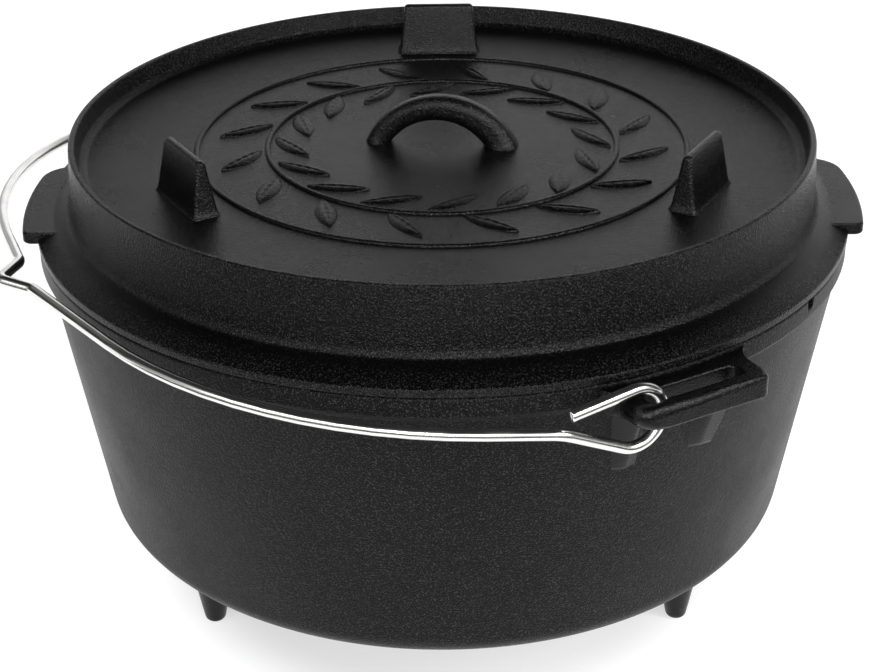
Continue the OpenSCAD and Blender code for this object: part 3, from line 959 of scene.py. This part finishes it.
@dataclass
class Lid(Assembly):
    """The lid casting: plate and rim, bow handle, wedge legs, side tabs, wreath and casting tick."""

    body: ClassVar[Body] = Body.LID
    slot: ClassVar[Slot] = Slot.LID
    casting_turns: ClassVar[int] = 320
    ridge_turns: ClassVar[int] = 240
    ridge_steps: ClassVar[int] = 11
    bow_steps: ClassVar[int] = 81
    leg_rows: ClassVar[int] = 8
    cap_steps: ClassVar[int] = 7
    flank_steps: ClassVar[int] = 12
    bend_steps: ClassVar[int] = 13
    tab_steps: ClassVar[int] = 41
    leaf_grid: ClassVar[tuple[int, int]] = (25, 17)
    tick_grid: ClassVar[tuple[int, int]] = (15, 14)
    turn: float = -29.4
    tray_depth: float = 9.4
    flange_t: float = 3.4
    flange_rise: float = 4.2
    flange_w: float = 10.0
    fillet: float = 4.5
    rim_t: float = 5.6
    rim_draft: float = 2.5
    edge_t: float = 2.6
    edge_r: float = 1.0
    tray_lean: float = 1.4
    ledge_w: float = 3.0
    ledge_h: float = 2.0
    ledge_foot_r: float = 2.5
    ledge_top_r: float = 1.0
    flange_top_r: float = 1.1
    flange_under_r: float = 0.9
    plate_t: float = 6.0
    skirt_h: float = 6.0
    skirt_t: float = 5.5
    skirt_in: float = 8.05
    skirt_lean: float = 1.0
    skirt_root_r: float = 0.8
    skirt_edge_r: float = 1.2
    skirt_inner_r: float = 2.0
    hollow_round: float = 2.5
    leg_inset: float = 26.1
    leg_w: float = 36.8
    leg_top_w: float = 32.0
    leg_t: float = 10.8
    leg_top_t: float = 3.6
    leg_lean: float = 3.6
    leg_edge: float = 1.5
    leg_flare: float = 1.0
    leg_flare_h: float = 0.9
    leg_root: tuple[float, ...] = (-0.6, 0.0, 0.3, 0.7, 1.2, 1.8, 2.6, 3.6)
    leg_plain: float = 5.0
    handle_half: float = 32.5
    handle_d: float = 11.2
    handle_turn: float = -8.0
    handle_bias: float = 0.33
    handle_side: float = 0.9
    handle_side_bias: float = 0.3
    handle_swell: float = 0.2
    handle_swell_h: float = 2.4
    handle_outer_r: float = 4.6
    handle_inner_r: float = 5.6
    handle_sink: float = 1.2
    handle_past: float = 0.18
    tab_half: float = 35.5
    tab_shift: float = 6.0
    tab_front_r: float = 3.0
    tab_rear_r: float = 14.0
    tab_out: float = 4.6
    tab_t: float = 5.0
    tab_edge: float = 1.1
    tab_root: float = 20.0
    tab_inner: float = 2.0
    tab_inner_w: float = 0.8
    tab_inner_edge: float = 0.2
    stem_r: float = 74.0
    stem_w: float = 2.4
    stem_power: float = 0.8
    leaf_count: int = 16
    leaf_l: float = 26.0
    leaf_w: float = 9.0
    leaf_angle: float = 42.0
    leaf_gap: float = 1.2
    leaf_tip: float = 0.015
    leaf_tip_z: float = -0.1
    leaf_tip_h: float = 0.45
    leaf_power: float = 0.6
    leaf_crown: float = 1.15
    leaf_crown_power: float = 2.4
    leaf_groove: float = 0.42
    leaf_groove_w: float = 0.13
    leaf_vein: float = 0.09
    leaf_veins: int = 6
    leaf_vein_slant: float = 1.1
    relief_sink: float = 0.5
    tick_at: float = 4.6
    tick_half: float = 3.6
    tick_r: float = 1.0
    tick_end: float = 0.98
    plate_sand: float = 0.5
    rim_sand: float = 1.0
    fillet_sand: float = 0.2
    fillet_reach: tuple[float, float] = (2.0, 5.0)
    lug_sand: float = 0.65

    def __post_init__(self) -> None:
        """Takes the main levels and radii from the frame."""
        low, high = frame_span("lid_rim")
        self.flange_r, self.top = high[0], high[2]
        self.seat = low[2] + self.skirt_h
        self.plate_z = self.top - self.tray_depth
        self.flange_top = self.seat + self.flange_t
        self.plate_r = frame_span("lid_plate")[1][0]
        self.tray_r = self.plate_r + self.ledge_w
        self.top_r = self.tray_r + self.tray_lean + self.edge_t
        self.leg_r = self.plate_r - self.leg_inset
        self.leg_top = frame_span("lid_leg_rear")[1][2]
        self.bow_top = frame_span("lid_handle")[1][2]
        self.tab_top = frame_span("lid_tab_left")[1][2]
        self.relief = frame_span("lid_wreath")[1][2] - self.plate_z
        self.border_r = frame_span("lid_wreath")[1][1] - self.stem_w / 2

    def slope_z(self, r: float) -> float:
        """Height of the sloping flange at a radius."""
        return self.flange_top + self.flange_rise * (self.flange_r - r) / self.flange_w

    def casting(self) -> Surface:
        """Plate, ledge, rim, flange and skirt as one profile r(z) turned about Z.

        Returns:
            The closed casting.
        """
        lean = math.tan(math.radians(self.rim_draft))
        foot_r = self.top_r + lean * (self.top - self.slope_z(self.flange_r - self.flange_w))
        slope = self.flange_rise / self.flange_w
        hollow_r = foot_r - self.rim_t
        under = self.plate_z - self.plate_t
        skirt_r = self.flange_r - self.skirt_in
        skirt_end, skirt_end_r = self.seat - self.skirt_h, skirt_r - self.skirt_lean
        skirt_in_r = skirt_end_r - self.skirt_t
        corners = np.array([
            [0, self.plate_z, 0],
            [self.plate_r, self.plate_z, self.ledge_foot_r],
            [self.tray_r, self.plate_z + self.ledge_h, self.ledge_top_r],
            [self.top_r - self.edge_t, self.top, self.edge_r],
            [self.top_r, self.top, self.edge_r],
            [foot_r, self.flange_top + slope * (self.flange_r - foot_r), self.fillet],
            [self.flange_r, self.flange_top, self.flange_top_r],
            [self.flange_r, self.seat, self.flange_under_r],
            [skirt_r, self.seat, self.skirt_root_r],
            [skirt_end_r, skirt_end, self.skirt_edge_r],
            [skirt_in_r, skirt_end, self.skirt_edge_r],
            [skirt_in_r, self.seat, self.skirt_inner_r],
            [hollow_r, self.slope_z(self.flange_r - self.flange_w), self.hollow_round],
            [hollow_r, under - self.plate_t, self.hollow_round],
            [hollow_r - self.plate_t, under, self.hollow_round],
            [0, under, 0],
        ])
        return turned_casting(corners, full_turn(self.casting_turns)).turned(self.turn)

    def handle(self) -> Surface:
        """Bow handle: a nearly round section carried along a ring arc that stands on the plate.

        At angle p of the arc, a section point (a, b) lies at radius ring + a in the upright plane and b
        across it. The section swells towards the plate by a share that dies away with height, and it is
        stouter towards the right foot by a share of cos(p).

        Returns:
            The closed handle, whose feet run a little way into the plate.
        """
        rise = self.bow_top - self.plate_z
        ring = (self.handle_half**2 + rise**2) / (2 * rise) - self.handle_d / 2
        centre = self.bow_top - ring - self.handle_d / 2
        start = math.asin((self.plate_z - self.handle_sink - centre) / ring) - self.handle_past
        arc = np.linspace(start, np.pi - start, self.bow_steps)
        half = np.full(len(arc), self.handle_d / 2)
        height = centre + ring * np.sin(arc) - self.plate_z
        swell = 1 + self.handle_swell * np.exp(-np.clip(height, 0, None) / self.handle_swell_h)
        inner = half * (1 + self.handle_bias * np.cos(arc))
        stout = self.handle_side + self.handle_side_bias * self.handle_bias * np.cos(arc)
        side = half * swell * stout
        radii = (self.handle_outer_r,) * 2 + (self.handle_inner_r,) * 2
        a, b = rounded_rectangle((-inner, -side), (half, side), radii)
        radius = ring + a
        x, z = radius * np.cos(arc)[:, None], centre + radius * np.sin(arc)[:, None]
        return tube(np.stack([x, b, z], axis=2)).turned(self.handle_turn + self.turn)

    def leg(self, turn: float) -> Surface:
        """Wedge leg: rounded plan sections that shrink from a filleted root to a rounded top.

        Args:
            turn: Direction of the leg about the lid axis.

        Returns:
            The closed leg.
        """
        edge = self.leg_edge
        height = self.leg_top - self.plate_z
        cap = edge * np.sin(np.radians(np.linspace(0, 90, self.cap_steps)[1:]))
        plain = np.linspace(self.leg_plain, height - edge, self.leg_rows)
        rows = np.concatenate([self.leg_root, plain, height - edge + cap])
        share = np.clip(rows / height, 0, 1)
        flare = self.leg_flare * np.exp(-np.clip(rows, 0, None) / self.leg_flare_h)
        inset = edge - np.sqrt(np.maximum(edge**2 - np.clip(rows - height + edge, 0, edge) ** 2, 0))
        outer = self.leg_r - self.leg_lean * share + flare - inset
        thick = self.leg_t + (self.leg_top_t - self.leg_t) * share
        inner = self.leg_r - self.leg_lean * share - thick - flare + inset
        half = 0.5 * (self.leg_w + (self.leg_top_w - self.leg_w) * share) + flare - inset
        a, b = rounded_rectangle((inner, -half), (outer, half), (edge + flare,) * 4)
        z = np.broadcast_to((self.plate_z + rows)[:, None], a.shape)
        return tube(np.stack([a, b, z], axis=2)).turned(turn + self.turn)

    def tab(self, side: int) -> Surface:
        """Side tab: rounded edge sections along its plan outline, out to an arc of its reach.

        The front corner is tighter than the rear one, and the whole tab is shifted towards the front.

        Args:
            side: -1 or 1, for the left or right of the lid.

        Returns:
            The closed tab.
        """
        reach = self.flange_r + self.tab_out
        root_x = self.flange_r - self.tab_root
        corners = []
        for radius in (self.tab_front_r, self.tab_rear_r):
            y = self.tab_half - radius
            x = math.sqrt((reach - radius) ** 2 - y**2)
            turn = np.linspace(np.pi / 2, math.atan2(y, x), self.bend_steps)
            bend = np.stack([x + radius * np.cos(turn), y + radius * np.sin(turn)], axis=1)
            flank = np.linspace((root_x, self.tab_half), (x, self.tab_half), self.flank_steps)
            corners.append(np.concatenate([flank[:-1], bend]))
        front, rear = corners[0] * [1, -1], corners[1][::-1]
        ends = [math.atan2(y, x) for x, y in (front[-1], rear[0])]
        span = np.linspace(*ends, self.tab_steps)[1:-1]
        edge = reach * np.stack([np.cos(span), np.sin(span)], axis=1)
        outer = np.concatenate([front, edge, rear])
        inner_x = np.full(len(outer), root_x - self.tab_inner)
        inner = np.stack([inner_x, outer[:, 1] * self.tab_inner_w], axis=1)
        inner, outer = (plan * [side, 1] + [0, -self.tab_shift] for plan in (inner, outer))
        crisp = np.full(len(outer), self.tab_edge)
        radii = (crisp, crisp) + (self.tab_inner_edge * crisp,) * 2
        rings = lug_rings(inner, outer, self.tab_top - self.tab_t, self.tab_top, radii)
        return tube(rings).turned(self.turn)

    def ridge(self, r: float) -> Surface:
        """Half-round ridge on the plate: a low arch of the stem's width turned about Z.

        Args:
            r: Radius of its middle.

        Returns:
            The closed ridge.
        """
        arch = np.linspace(0, np.pi, self.ridge_steps)
        height = self.plate_z + self.relief * np.sin(arch) ** self.stem_power
        top = np.stack([r + self.stem_w / 2 * np.cos(arch), height], axis=1)
        under = self.plate_z - self.relief_sink
        foot = np.array([[r - self.stem_w / 2, under], [r + self.stem_w / 2, under]])
        return hoop(revolved(np.concatenate([top, foot]), full_turn(self.ridge_turns)))

    def leaves(self) -> Surface:
        """Leaves on both sides of the stem, each a lens in plan with a crowned, veined back.

        At share u of its length and place v across, from -1 to 1, a leaf rises by its relief times a
        crown 1 - |v|^k, less a groove along its middle and slanting veins. It is lower towards its two
        tips. One leaf is turned to every place.

        Returns:
            All the leaves as one surface.
        """
        rows, cols = self.leaf_grid
        u = np.linspace(self.leaf_tip, 1 - self.leaf_tip, rows)[:, None]
        v = np.linspace(-1, 1, cols)[None, :]
        bow_r = (self.leaf_l**2 + self.leaf_w**2) / (4 * self.leaf_w)
        half = np.sqrt(bow_r**2 - ((u - 0.5) * self.leaf_l) ** 2) - bow_r + self.leaf_w / 2
        swell = self.leaf_tip_h + (1 - self.leaf_tip_h) * np.sin(np.pi * u) ** self.leaf_power
        crown = (1 - np.abs(v) ** self.leaf_crown_power) * swell
        groove = self.leaf_groove * np.exp(-((v / self.leaf_groove_w) ** 2))
        wave = np.cos(2 * np.pi * (u * self.leaf_veins - np.abs(v) * self.leaf_vein_slant))
        veins = self.leaf_vein * wave * (1 - np.abs(v))
        height = self.relief * self.leaf_crown * crown * (1 - groove + veins)
        under = np.full((rows, 1), -self.relief_sink)
        across = np.concatenate([half * v, half, -half], axis=1)
        up = np.concatenate([height, under, under], axis=1)
        along = np.broadcast_to(u * self.leaf_l, across.shape)
        tips = np.array([[0, 0, self.leaf_tip_z], [self.leaf_l, 0, self.leaf_tip_z]])
        leaf = tube(np.stack([along, across, up], axis=2), tips)
        step = 360 / self.leaf_count
        spots = [(k * step + side * step / 4, side) for k in range(self.leaf_count) for side in (-1, 1)]
        parts = []
        for spot, side in spots:
            points = leaf.points @ turn_matrix(90 - side * self.leaf_angle).T
            points = points + [self.stem_r + side * (self.stem_w / 2 + self.leaf_gap), 0, self.plate_z]
            parts.append(Surface(points @ turn_matrix(spot).T, leaf.quads, leaf.triangles))
        return joined(parts)

    def tick(self) -> Surface:
        """Small cast mark on the flange, in line with the front ear: a lens that runs along a radius.

        At share s of its half length, its round section has the radius sqrt(1 - s^2) of its middle.

        Returns:
            The closed mark.
        """
        rows, cols = self.tick_grid
        share = np.linspace(-self.tick_end, self.tick_end, rows)[:, None]
        around = full_turn(cols)[None, :]
        swell = np.sqrt(1 - share**2)
        r = self.flange_r - self.tick_at + self.tick_half * share
        across = self.tick_r * swell * np.cos(around)
        up = self.slope_z(r) + self.tick_r * swell * np.sin(around)
        return tube(np.stack([across, np.broadcast_to(-r, across.shape), up], axis=2))

    def build(self) -> None:
        """Makes and dresses the pieces of the lid, with more sand marks on the rim than on the plate."""
        casting = self.casting()
        r, z = np.hypot(*casting.points.T[:2]), casting.points[:, 2]
        out = smooth(r, self.plate_r, self.tray_r)
        corner_r = self.flange_r - self.flange_w
        off = np.hypot(r - corner_r, z - self.slope_z(corner_r))
        fillet = 1 - smooth(off, *self.fillet_reach)
        rim = self.rim_sand + (self.fillet_sand - self.rim_sand) * fillet
        sand = {COARSE: self.plate_sand + (rim - self.plate_sand) * out}
        self.dress("lid_casting", casting, ("lid_rim", "lid_plate"), sand)
        pieces = [("lid_bow_handle", self.handle(), ("lid_handle",))]
        for side, turn in (("left", 210), ("right", -30), ("rear", 90)):
            pieces.append((f"lid_{side}_leg", self.leg(turn), (f"lid_leg_{side}",)))
        for name, side in (("left", -1), ("right", 1)):
            pieces.append((f"lid_{name}_tab", self.tab(side), (f"lid_tab_{name}",)))
        pieces.append(("lid_casting_tick", self.tick(), ()))
        for name, surface, nodes in pieces:
            sand = self.sandy(surface, self.lug_sand)
            self.dress(name, surface, nodes, sand, lug="tab" not in name)
        ornament = [self.ridge(self.stem_r), self.ridge(self.border_r), self.leaves()]
        wreath = joined(ornament).turned(self.turn)
        self.dress("lid_leaf_wreath", wreath, ("lid_wreath",), self.sandy(wreath, self.plate_sand))


@dataclass
class Bail(Assembly):
    """The wire bail: two hooks, shoulders and a wide bow with a hanging kink."""

    body: ClassVar[Body] = Body.BAIL
    slot: ClassVar[Slot] = Slot.BAIL
    wire_d: float = 4.6
    hook_y: float = 181.75
    hook_r: float = 11.8
    tail_l: float = 27.0
    tail_from: float = 79.0
    shoulder_rise: float = 22.0
    shoulder_r: float = 15.0
    bow_x: float = 184.2
    drop: float = 2.6
    ahead: float = 0.7
    bow_fall: float = 22.8
    bow_inset: float = 41.75
    bow_r: float = 150.0
    kink_shift: float = 14.5
    kink_w: float = 27.0
    kink_h: float = 11.0
    kink_tip_r: float = 4.0
    kink_end_r: float = 8.0
    end_bevel: float = 0.35
    rise: float = 5.0
    sides: int = 28

    def __post_init__(self) -> None:
        """Takes the hinge line from the frame's joint."""
        swing = next(joint for joint in frame["joints"] if joint["name"] == "bail_swing")
        self.pivot = np.array(swing["pos_m"]) / MM
        angle = math.radians(self.rise)
        self.out = np.array([-math.cos(angle), 0, math.sin(angle)])
        self.lift = np.array([math.sin(angle), 0, math.cos(angle)])
        level = self.bow_x + self.pivot[0] - self.drop * math.sin(angle)
        self.bow_u = level / math.cos(angle) - self.ahead

    def point(self, u: float, y: float, n: float) -> Array:
        """Point at reach u from the hook, place y along the hinge and lift n off the bow's plane."""
        hang = (u + self.ahead) * self.out + (n - self.drop) * self.lift
        return self.pivot + hang + np.array([0, y, 0])

    def hook(self, side: int) -> list[tuple[Array, float]]:
        """Corners of one hook from its tail to its shoulder.

        The bend is an arc of the hook's radius, drawn by three corners on the lines that touch it.

        Args:
            side: -1 or 1, for the hook at the front or at the rear ear.

        Returns:
            Corner points, each with its bend radius.
        """
        start, end = self.tail_from, 270 + self.shoulder_rise
        count = 3
        step = (end - start) / count
        corner_r = self.hook_r / math.cos(math.radians(step / 2))
        c, s = math.cos(math.radians(start)), math.sin(math.radians(start))
        y = side * self.hook_y
        tail = self.point(self.hook_r * c + self.tail_l * s, y, self.hook_r * s - self.tail_l * c)
        corners = [(tail, 0.0)]
        for k in range(count):
            angle = math.radians(start + step * (k + 0.5))
            bend = self.point(corner_r * math.cos(angle), y, corner_r * math.sin(angle))
            corners.append((bend, self.hook_r))
        foot, slant = math.radians(end), math.radians(self.shoulder_rise)
        reach = self.hook_r * (math.cos(foot) - math.sin(foot) / math.tan(slant))
        return corners + [(self.point(reach, y, 0), self.shoulder_r)]

    def line(self) -> Array:
        """Middle line of the wire, from the tail at the front ear to the tail at the rear ear.

        Returns:
            Points along the line.
        """
        corner_y = self.hook_y - self.bow_inset
        corner_u = self.bow_u - self.bow_fall
        bow = [(self.point(corner_u, -corner_y, 0), self.bow_r)]
        kink = ((-self.kink_w / 2, 0, self.kink_end_r), (0, self.kink_h, self.kink_tip_r),
                (self.kink_w / 2, 0, self.kink_end_r))
        for shift, out, radius in kink:
            y = self.kink_shift + shift
            bow.append((self.point(self.bow_u - self.bow_fall * abs(y) / corner_y + out, y, 0), radius))
        bow.append((self.point(corner_u, corner_y, 0), self.bow_r))
        path = self.hook(-1) + bow + self.hook(1)[::-1]
        corners, radii = zip(*path)
        return rounded_line(np.array(corners), np.array(radii), span=8.0, arc_step=5.0)

    def wire(self) -> tuple[Surface, Array]:
        """Round wire: a circle carried along the middle line, with chamfered ends.

        The circle's first direction is square to the line, towards a guide between the hinge line and
        the bow's normal, which the wire never runs along, so that the section never twists.

        Returns:
            The closed surface, and for each point its place round and along the wire.
        """
        line = self.line()
        way = unit(np.gradient(line, axis=0))
        guide = unit(self.lift + [0, 1, 0])
        first = unit(guide - way * (way @ guide)[:, None])
        second = np.cross(way, first)
        pick = np.concatenate([[0, 0], np.arange(1, len(line) - 1), [-1, -1]])
        centre = line[pick]
        centre[1] += self.end_bevel * way[0]
        centre[-2] -= self.end_bevel * way[-1]
        radius = np.full(len(centre), self.wire_d / 2)
        radius[[0, -1]] -= self.end_bevel
        angle = full_turn(self.sides)
        c, s = np.cos(angle)[:, None], np.sin(angle)[:, None]
        spoke = first[pick][:, None] * c + second[pick][:, None] * s
        rings = centre[:, None] + radius[:, None, None] * spoke
        along = np.concatenate([[0], np.cumsum(np.linalg.norm(np.diff(centre, axis=0), axis=1))])
        shape = (len(centre), self.sides)
        rounds = np.broadcast_to(np.stack([np.cos(angle), np.sin(angle)], axis=1), (*shape, 2))
        lay = np.concatenate([rounds, np.broadcast_to(along[:, None, None], (*shape, 1))], axis=2)
        poles = np.array([[0, 0, along[0]], [0, 0, along[-1]]])
        return tube(rings), np.concatenate([lay.reshape(-1, 3), poles])

    def build(self) -> None:
        """Makes and dresses the bail."""
        surface, lay = self.wire()
        self.dress("bail_wire", surface, ("bail",), {WIRE_LAY: lay})


@dataclass(frozen=True)
class Softbox:
    """A soft lamp: where it hangs and what it looks at, in millimetres, its size and its power."""

    name: str
    place: tuple[float, float, float]
    aim: tuple[float, float, float]
    size: tuple[float, float]
    power: float

    def build(self) -> None:
        """Hangs the lamp."""
        lamp = bpy.data.lights.new(self.name, "AREA")
        lamp.shape = "RECTANGLE"
        lamp.size, lamp.size_y = (side * MM for side in self.size)
        lamp.energy = self.power
        holder = placed(self.name, lamp)
        back = unit(np.array(self.place, float) - np.array(self.aim, float))
        across = unit(np.cross([0, 0, 1], back))
        up = np.cross(back, across)
        holder.matrix_world = camera_matrix(across, up, back, np.array(self.place, float))
        holder.visible_camera = False


@dataclass(frozen=True)
class Glow:
    """A pale patch of the surround, which fades in and out smoothly.

    Attributes:
        heading: Direction of its middle from +Y towards +X, in degrees.
        turn: Cosines of the angle off that direction at which it starts and at which it is full.
        foot: Sines of the height at which it starts and at which it is full.
        top: Sines of the height at which it starts to fade and at which it has ended.
        level: Its strength.
    """

    heading: float
    turn: tuple[float, float]
    foot: tuple[float, float]
    top: tuple[float, float]
    level: float

    def strength(
        self, sheet: NodeSheet, bearing: bpy.types.NodeSocket, height: bpy.types.NodeSocket
    ) -> bpy.types.NodeSocket:
        """Strength of the patch in every direction: the product of its three smooth steps and its level.

        Args:
            sheet: Sheet of the world's tree.
            bearing: Level direction, of length 1.
            height: Sine of the height.

        Returns:
            Socket of the strength.
        """
        middle = math.radians(self.heading)
        toward = (math.sin(middle), math.cos(middle), 0)
        facing = sheet.add("ShaderNodeVectorMath", {0: bearing, 1: toward}, operation="DOT_PRODUCT")
        near = sheet.spread(facing.outputs["Value"], *self.turn, 0.0, self.level)
        above = sheet.spread(height, *self.foot, 0.0, 1.0)
        below = sheet.spread(height, *self.top, 1.0, 0.0)
        return sheet.math("MULTIPLY", near, sheet.math("MULTIPLY", above, below))


def camera_matrix(across: Array, up: Array, back: Array, place: Array) -> Matrix:
    """Matrix of an object that looks against one direction.

    Args:
        across: Its own X.
        up: Its own Y.
        back: Its own Z, against which it looks.
        place: Its place in millimetres.

    Returns:
        The matrix, in metres.
    """
    rows = np.eye(4)
    rows[:3, 0], rows[:3, 1], rows[:3, 2], rows[:3, 3] = across, up, back, place * MM
    return Matrix(rows.tolist())


@dataclass
class Studio:
    """Camera at the photograph's place, pale floor, pale surround, soft lamps and a dark cloth that
    only reflections show, which paints dark reflections.

    Attributes:
        place: Place of the camera.
        heading: Direction of its view from +Y towards +X.
        pitch: How far the view is tipped down.
        roll: Turn of the frame about the view.
        focal_px: Focal length in pixels of the frame.
        centre_px: Optical centre in the frame.
        frame_px: Width and height of the frame.
        sensor_mm: Width of the sensor.
        clip_m: Nearest and farthest distance that the camera shows, in metres.
        floor_half: Half of the floor's side.
        floor_paint: Grey of the floor.
        floor_lift_and_painted_shadow: Level added to the floor where it is looked at, under the pot and
            around it; the lower level under the pot paints a shadow there.
        painted_shadow_range: Distances from the pot's axis between which the lift grows, over which the
            painted shadow under the pot fades out.
        far_glow: Level of the far patch that the lid plate shows.
        far_side: Level of the wider patch round it.
        overhead: Level everywhere else.
        front: Level on the camera's side.
        band: Level of the bright band above the camera.
        lamp_aim: Point that the lamps look at.
        flag_r: Inner and outer radius of the dark cloth.
        flag_half: Half of the angle that the cloth spans.
        flag_steps: Points along its edge.
        painted_reflection_tone: Grey of the cloth, which only reflections show: a painted dark
            reflection.
    """

    place: tuple[float, float, float] = (-392.5, -679.9, 523.0)
    heading: float = 30.0
    pitch: float = 25.95
    roll: float = -0.42
    focal_px: float = 1989.9
    centre_px: tuple[float, float] = (443.2, 272.3)
    frame_px: tuple[int, int] = (871, 672)
    sensor_mm: float = 36.0
    clip_m: tuple[float, float] = (0.01, 100.0)
    floor_half: float = 12000.0
    floor_paint: float = 0.55
    floor_lift_and_painted_shadow: tuple[float, float] = (0.44, 0.79)
    painted_shadow_range: tuple[float, float] = (100.0, 140.0)
    far_glow: float = 0.65
    far_side: float = 0.42
    overhead: float = 0.02
    front: float = 0.45
    band: float = 3.4
    lamp_aim: tuple[float, float, float] = (0.0, 0.0, 190.0)
    flag_r: tuple[float, float] = (500.0, 2500.0)
    flag_half: float = 80.0
    flag_steps: int = 33
    painted_reflection_tone: float = 0.02

    def camera(self) -> None:
        """Puts the camera where the photograph was taken from.

        The view runs along the heading from +Y towards +X, tipped down by the pitch, and the frame is
        turned by the roll. The lens is the focal length in pixels over the frame's width, and the shift
        moves the optical centre.
        """
        h, p, r = np.radians([self.heading, self.pitch, self.roll]).tolist()
        ahead = np.array([math.sin(h) * math.cos(p), math.cos(h) * math.cos(p), -math.sin(p)])
        level = np.array([math.cos(h), -math.sin(h), 0])
        upright = np.cross(level, ahead)
        across = math.cos(r) * level + math.sin(r) * upright
        up = math.cos(r) * upright - math.sin(r) * level
        lens = bpy.data.cameras.new("photo_camera")
        lens.sensor_width = self.sensor_mm
        lens.lens = self.focal_px / self.frame_px[0] * self.sensor_mm
        lens.shift_x = (self.frame_px[0] / 2 - self.centre_px[0]) / self.frame_px[0]
        lens.shift_y = (self.centre_px[1] - self.frame_px[1] / 2) / self.frame_px[0]
        lens.clip_start, lens.clip_end = self.clip_m
        holder = placed("photo_camera", lens)
        holder.matrix_world = camera_matrix(across, up, -ahead, np.array(self.place))
        bpy.context.scene.camera = holder

    def floor(self) -> None:
        """Lays a pale floor that keeps the shadow and is lifted towards white where it is looked at.

        The lift is for rays from the camera, from gloss and from clear pieces, so that they show one
        floor. It is weaker under the pot than around it, which paints a shadow under the pot.
        """
        side = self.floor_half * MM
        mesh = bpy.data.meshes.new("floor")
        corners = [(-side, -side, 0), (side, -side, 0), (side, side, 0), (-side, side, 0)]
        mesh.from_pydata(corners, [], [(0, 1, 2, 3)])
        material, sheet = new_material("pale_floor")
        paint = sheet.add("ShaderNodeBsdfDiffuse", {"Color": grey(self.floor_paint)})
        spot = sheet.add("ShaderNodeTexCoord").outputs["Object"]
        away = sheet.add("ShaderNodeVectorMath", {0: spot}, operation="LENGTH").outputs["Value"]
        # The lift grows away from the pot's axis: the lower lift near it is a painted shadow under the
        # pot
        near, far = self.painted_shadow_range
        level = sheet.spread(away, near * MM, far * MM, *self.floor_lift_and_painted_shadow)
        lift = sheet.add("ShaderNodeEmission", {"Color": grey(1), "Strength": level})
        both = sheet.add("ShaderNodeAddShader", {0: paint.outputs[0], 1: lift.outputs[0]})
        path = sheet.add("ShaderNodeLightPath").outputs
        seen = sheet.math("MAXIMUM", path["Is Camera Ray"], path["Is Glossy Ray"])
        seen = sheet.math("MAXIMUM", seen, path["Is Transmission Ray"])
        shaders = {0: seen, 1: paint.outputs[0], 2: both.outputs[0]}
        sheet.finish(sheet.add("ShaderNodeMixShader", shaders))
        mesh.materials.append(material)
        placed("floor", mesh)

    def glows(self) -> list[Glow]:
        """The pale patches of the surround, on the far side and on the camera's side.

        Returns:
            The patches.
        """
        far, back = self.heading, self.heading + 180
        ground = (-0.2, 0.0)
        return [
            Glow(far + 14, (0.75, 0.95), ground, (0.4, 0.72), self.far_glow),
            Glow(far, (0.3, 0.8), ground, (0.4, 0.72), self.far_side),
            Glow(back, (-0.1, 0.2), ground, (0.5, 0.8), self.front),
            Glow(back - 8, (0.2, 0.5), (0.22, 0.3), (0.54, 0.62), self.band),
        ]

    def surround(self) -> None:
        """Hangs the pale patches round the scene, which is dark aside and overhead."""
        world = bpy.data.worlds.new("studio")
        world.use_nodes = True
        bpy.context.scene.world = world
        sheet = NodeSheet(world.node_tree)
        ways = sheet.add("ShaderNodeTexCoord").outputs["Generated"]
        height = sheet.add("ShaderNodeSeparateXYZ", {0: ways}).outputs["Z"]
        level = sheet.add("ShaderNodeVectorMath", {0: ways, 1: (1, 1, 0)}, operation="MULTIPLY")
        bearing = sheet.add("ShaderNodeVectorMath", {0: level.outputs[0]}, operation="NORMALIZE")
        strength = self.overhead
        for glow in self.glows():
            strength = sheet.math("ADD", strength, glow.strength(sheet, bearing.outputs[0], height))
        light = sheet.add("ShaderNodeBackground", {"Color": grey(1), "Strength": strength})
        sheet.finish(light, "ShaderNodeOutputWorld")

    def reflection_only_flag(self) -> None:
        """Lays a dark cloth on the floor in front, which bright wire shows as a dark line.

        It is a sector of a ring about the pot's axis on the camera's side. Only reflections show it, so
        its grey is a painted dark reflection on the iron and the wire.
        """
        middle = math.radians(-90 - self.heading)
        turns = middle + np.radians(np.linspace(-self.flag_half, self.flag_half, self.flag_steps))
        edges = np.array([[r * MM, MM] for r in self.flag_r])
        mesh = bpy.data.meshes.new("front_reflection_only_cloth")
        quads = grid_quads(len(edges), self.flag_steps, wrap_cols=False)
        mesh.from_pydata(revolved(edges, turns).reshape(-1, 3).tolist(), [], quads.tolist())
        material, sheet = new_material("painted_dark_reflection_cloth")
        sheet.finish(sheet.add("ShaderNodeBsdfDiffuse", {"Color": grey(self.painted_reflection_tone)}))
        mesh.materials.append(material)
        cloth = placed("front_reflection_only_cloth", mesh)
        # Seen only by gloss: a painted dark reflection on the iron and the wire
        cloth.visible_camera = cloth.visible_diffuse = cloth.visible_shadow = False

    def lamps(self) -> list[Softbox]:
        """The soft lamps: one behind the camera and one at the front right."""
        return [
            Softbox("front", (-825, -1430, 790), self.lamp_aim, (450, 500), 9),
            Softbox("right", (718, -1540, 1170), self.lamp_aim, (450, 450), 10),
        ]

    def build(self) -> None:
        """Sets up the camera, the surround, the floor, the reflection-only cloth and the lamps."""
        self.camera()
        self.surround()
        self.floor()
        self.reflection_only_flag()
        for lamp in self.lamps():
            lamp.build()
        bpy.context.scene.view_settings.view_transform = "Standard"


def main() -> None:
    """Builds the studio, the finishes, the pot, the lid and the bail."""
    logging.basicConfig(level=logging.INFO, format="%(name)s: %(message)s")
    Studio().build()
    skin = SandSkin().group()
    pot_iron = CastIron("seasoned_pot_iron", shine=0.12, gloss=(0.32, 0.4), worn=0.04).material(skin)
    lid_iron = CastIron("seasoned_lid_iron").material(skin)
    lug_iron = CastIron("oiled_lug_iron", shine=0.24, worn=0.016).material(skin)
    Pot(pot_iron, lug_iron).build()
    Lid(lid_iron, lug_iron).build()
    Bail(DrawnSteel("bright_wire_steel").material()).build()


if __name__ == "__main__":
    main()
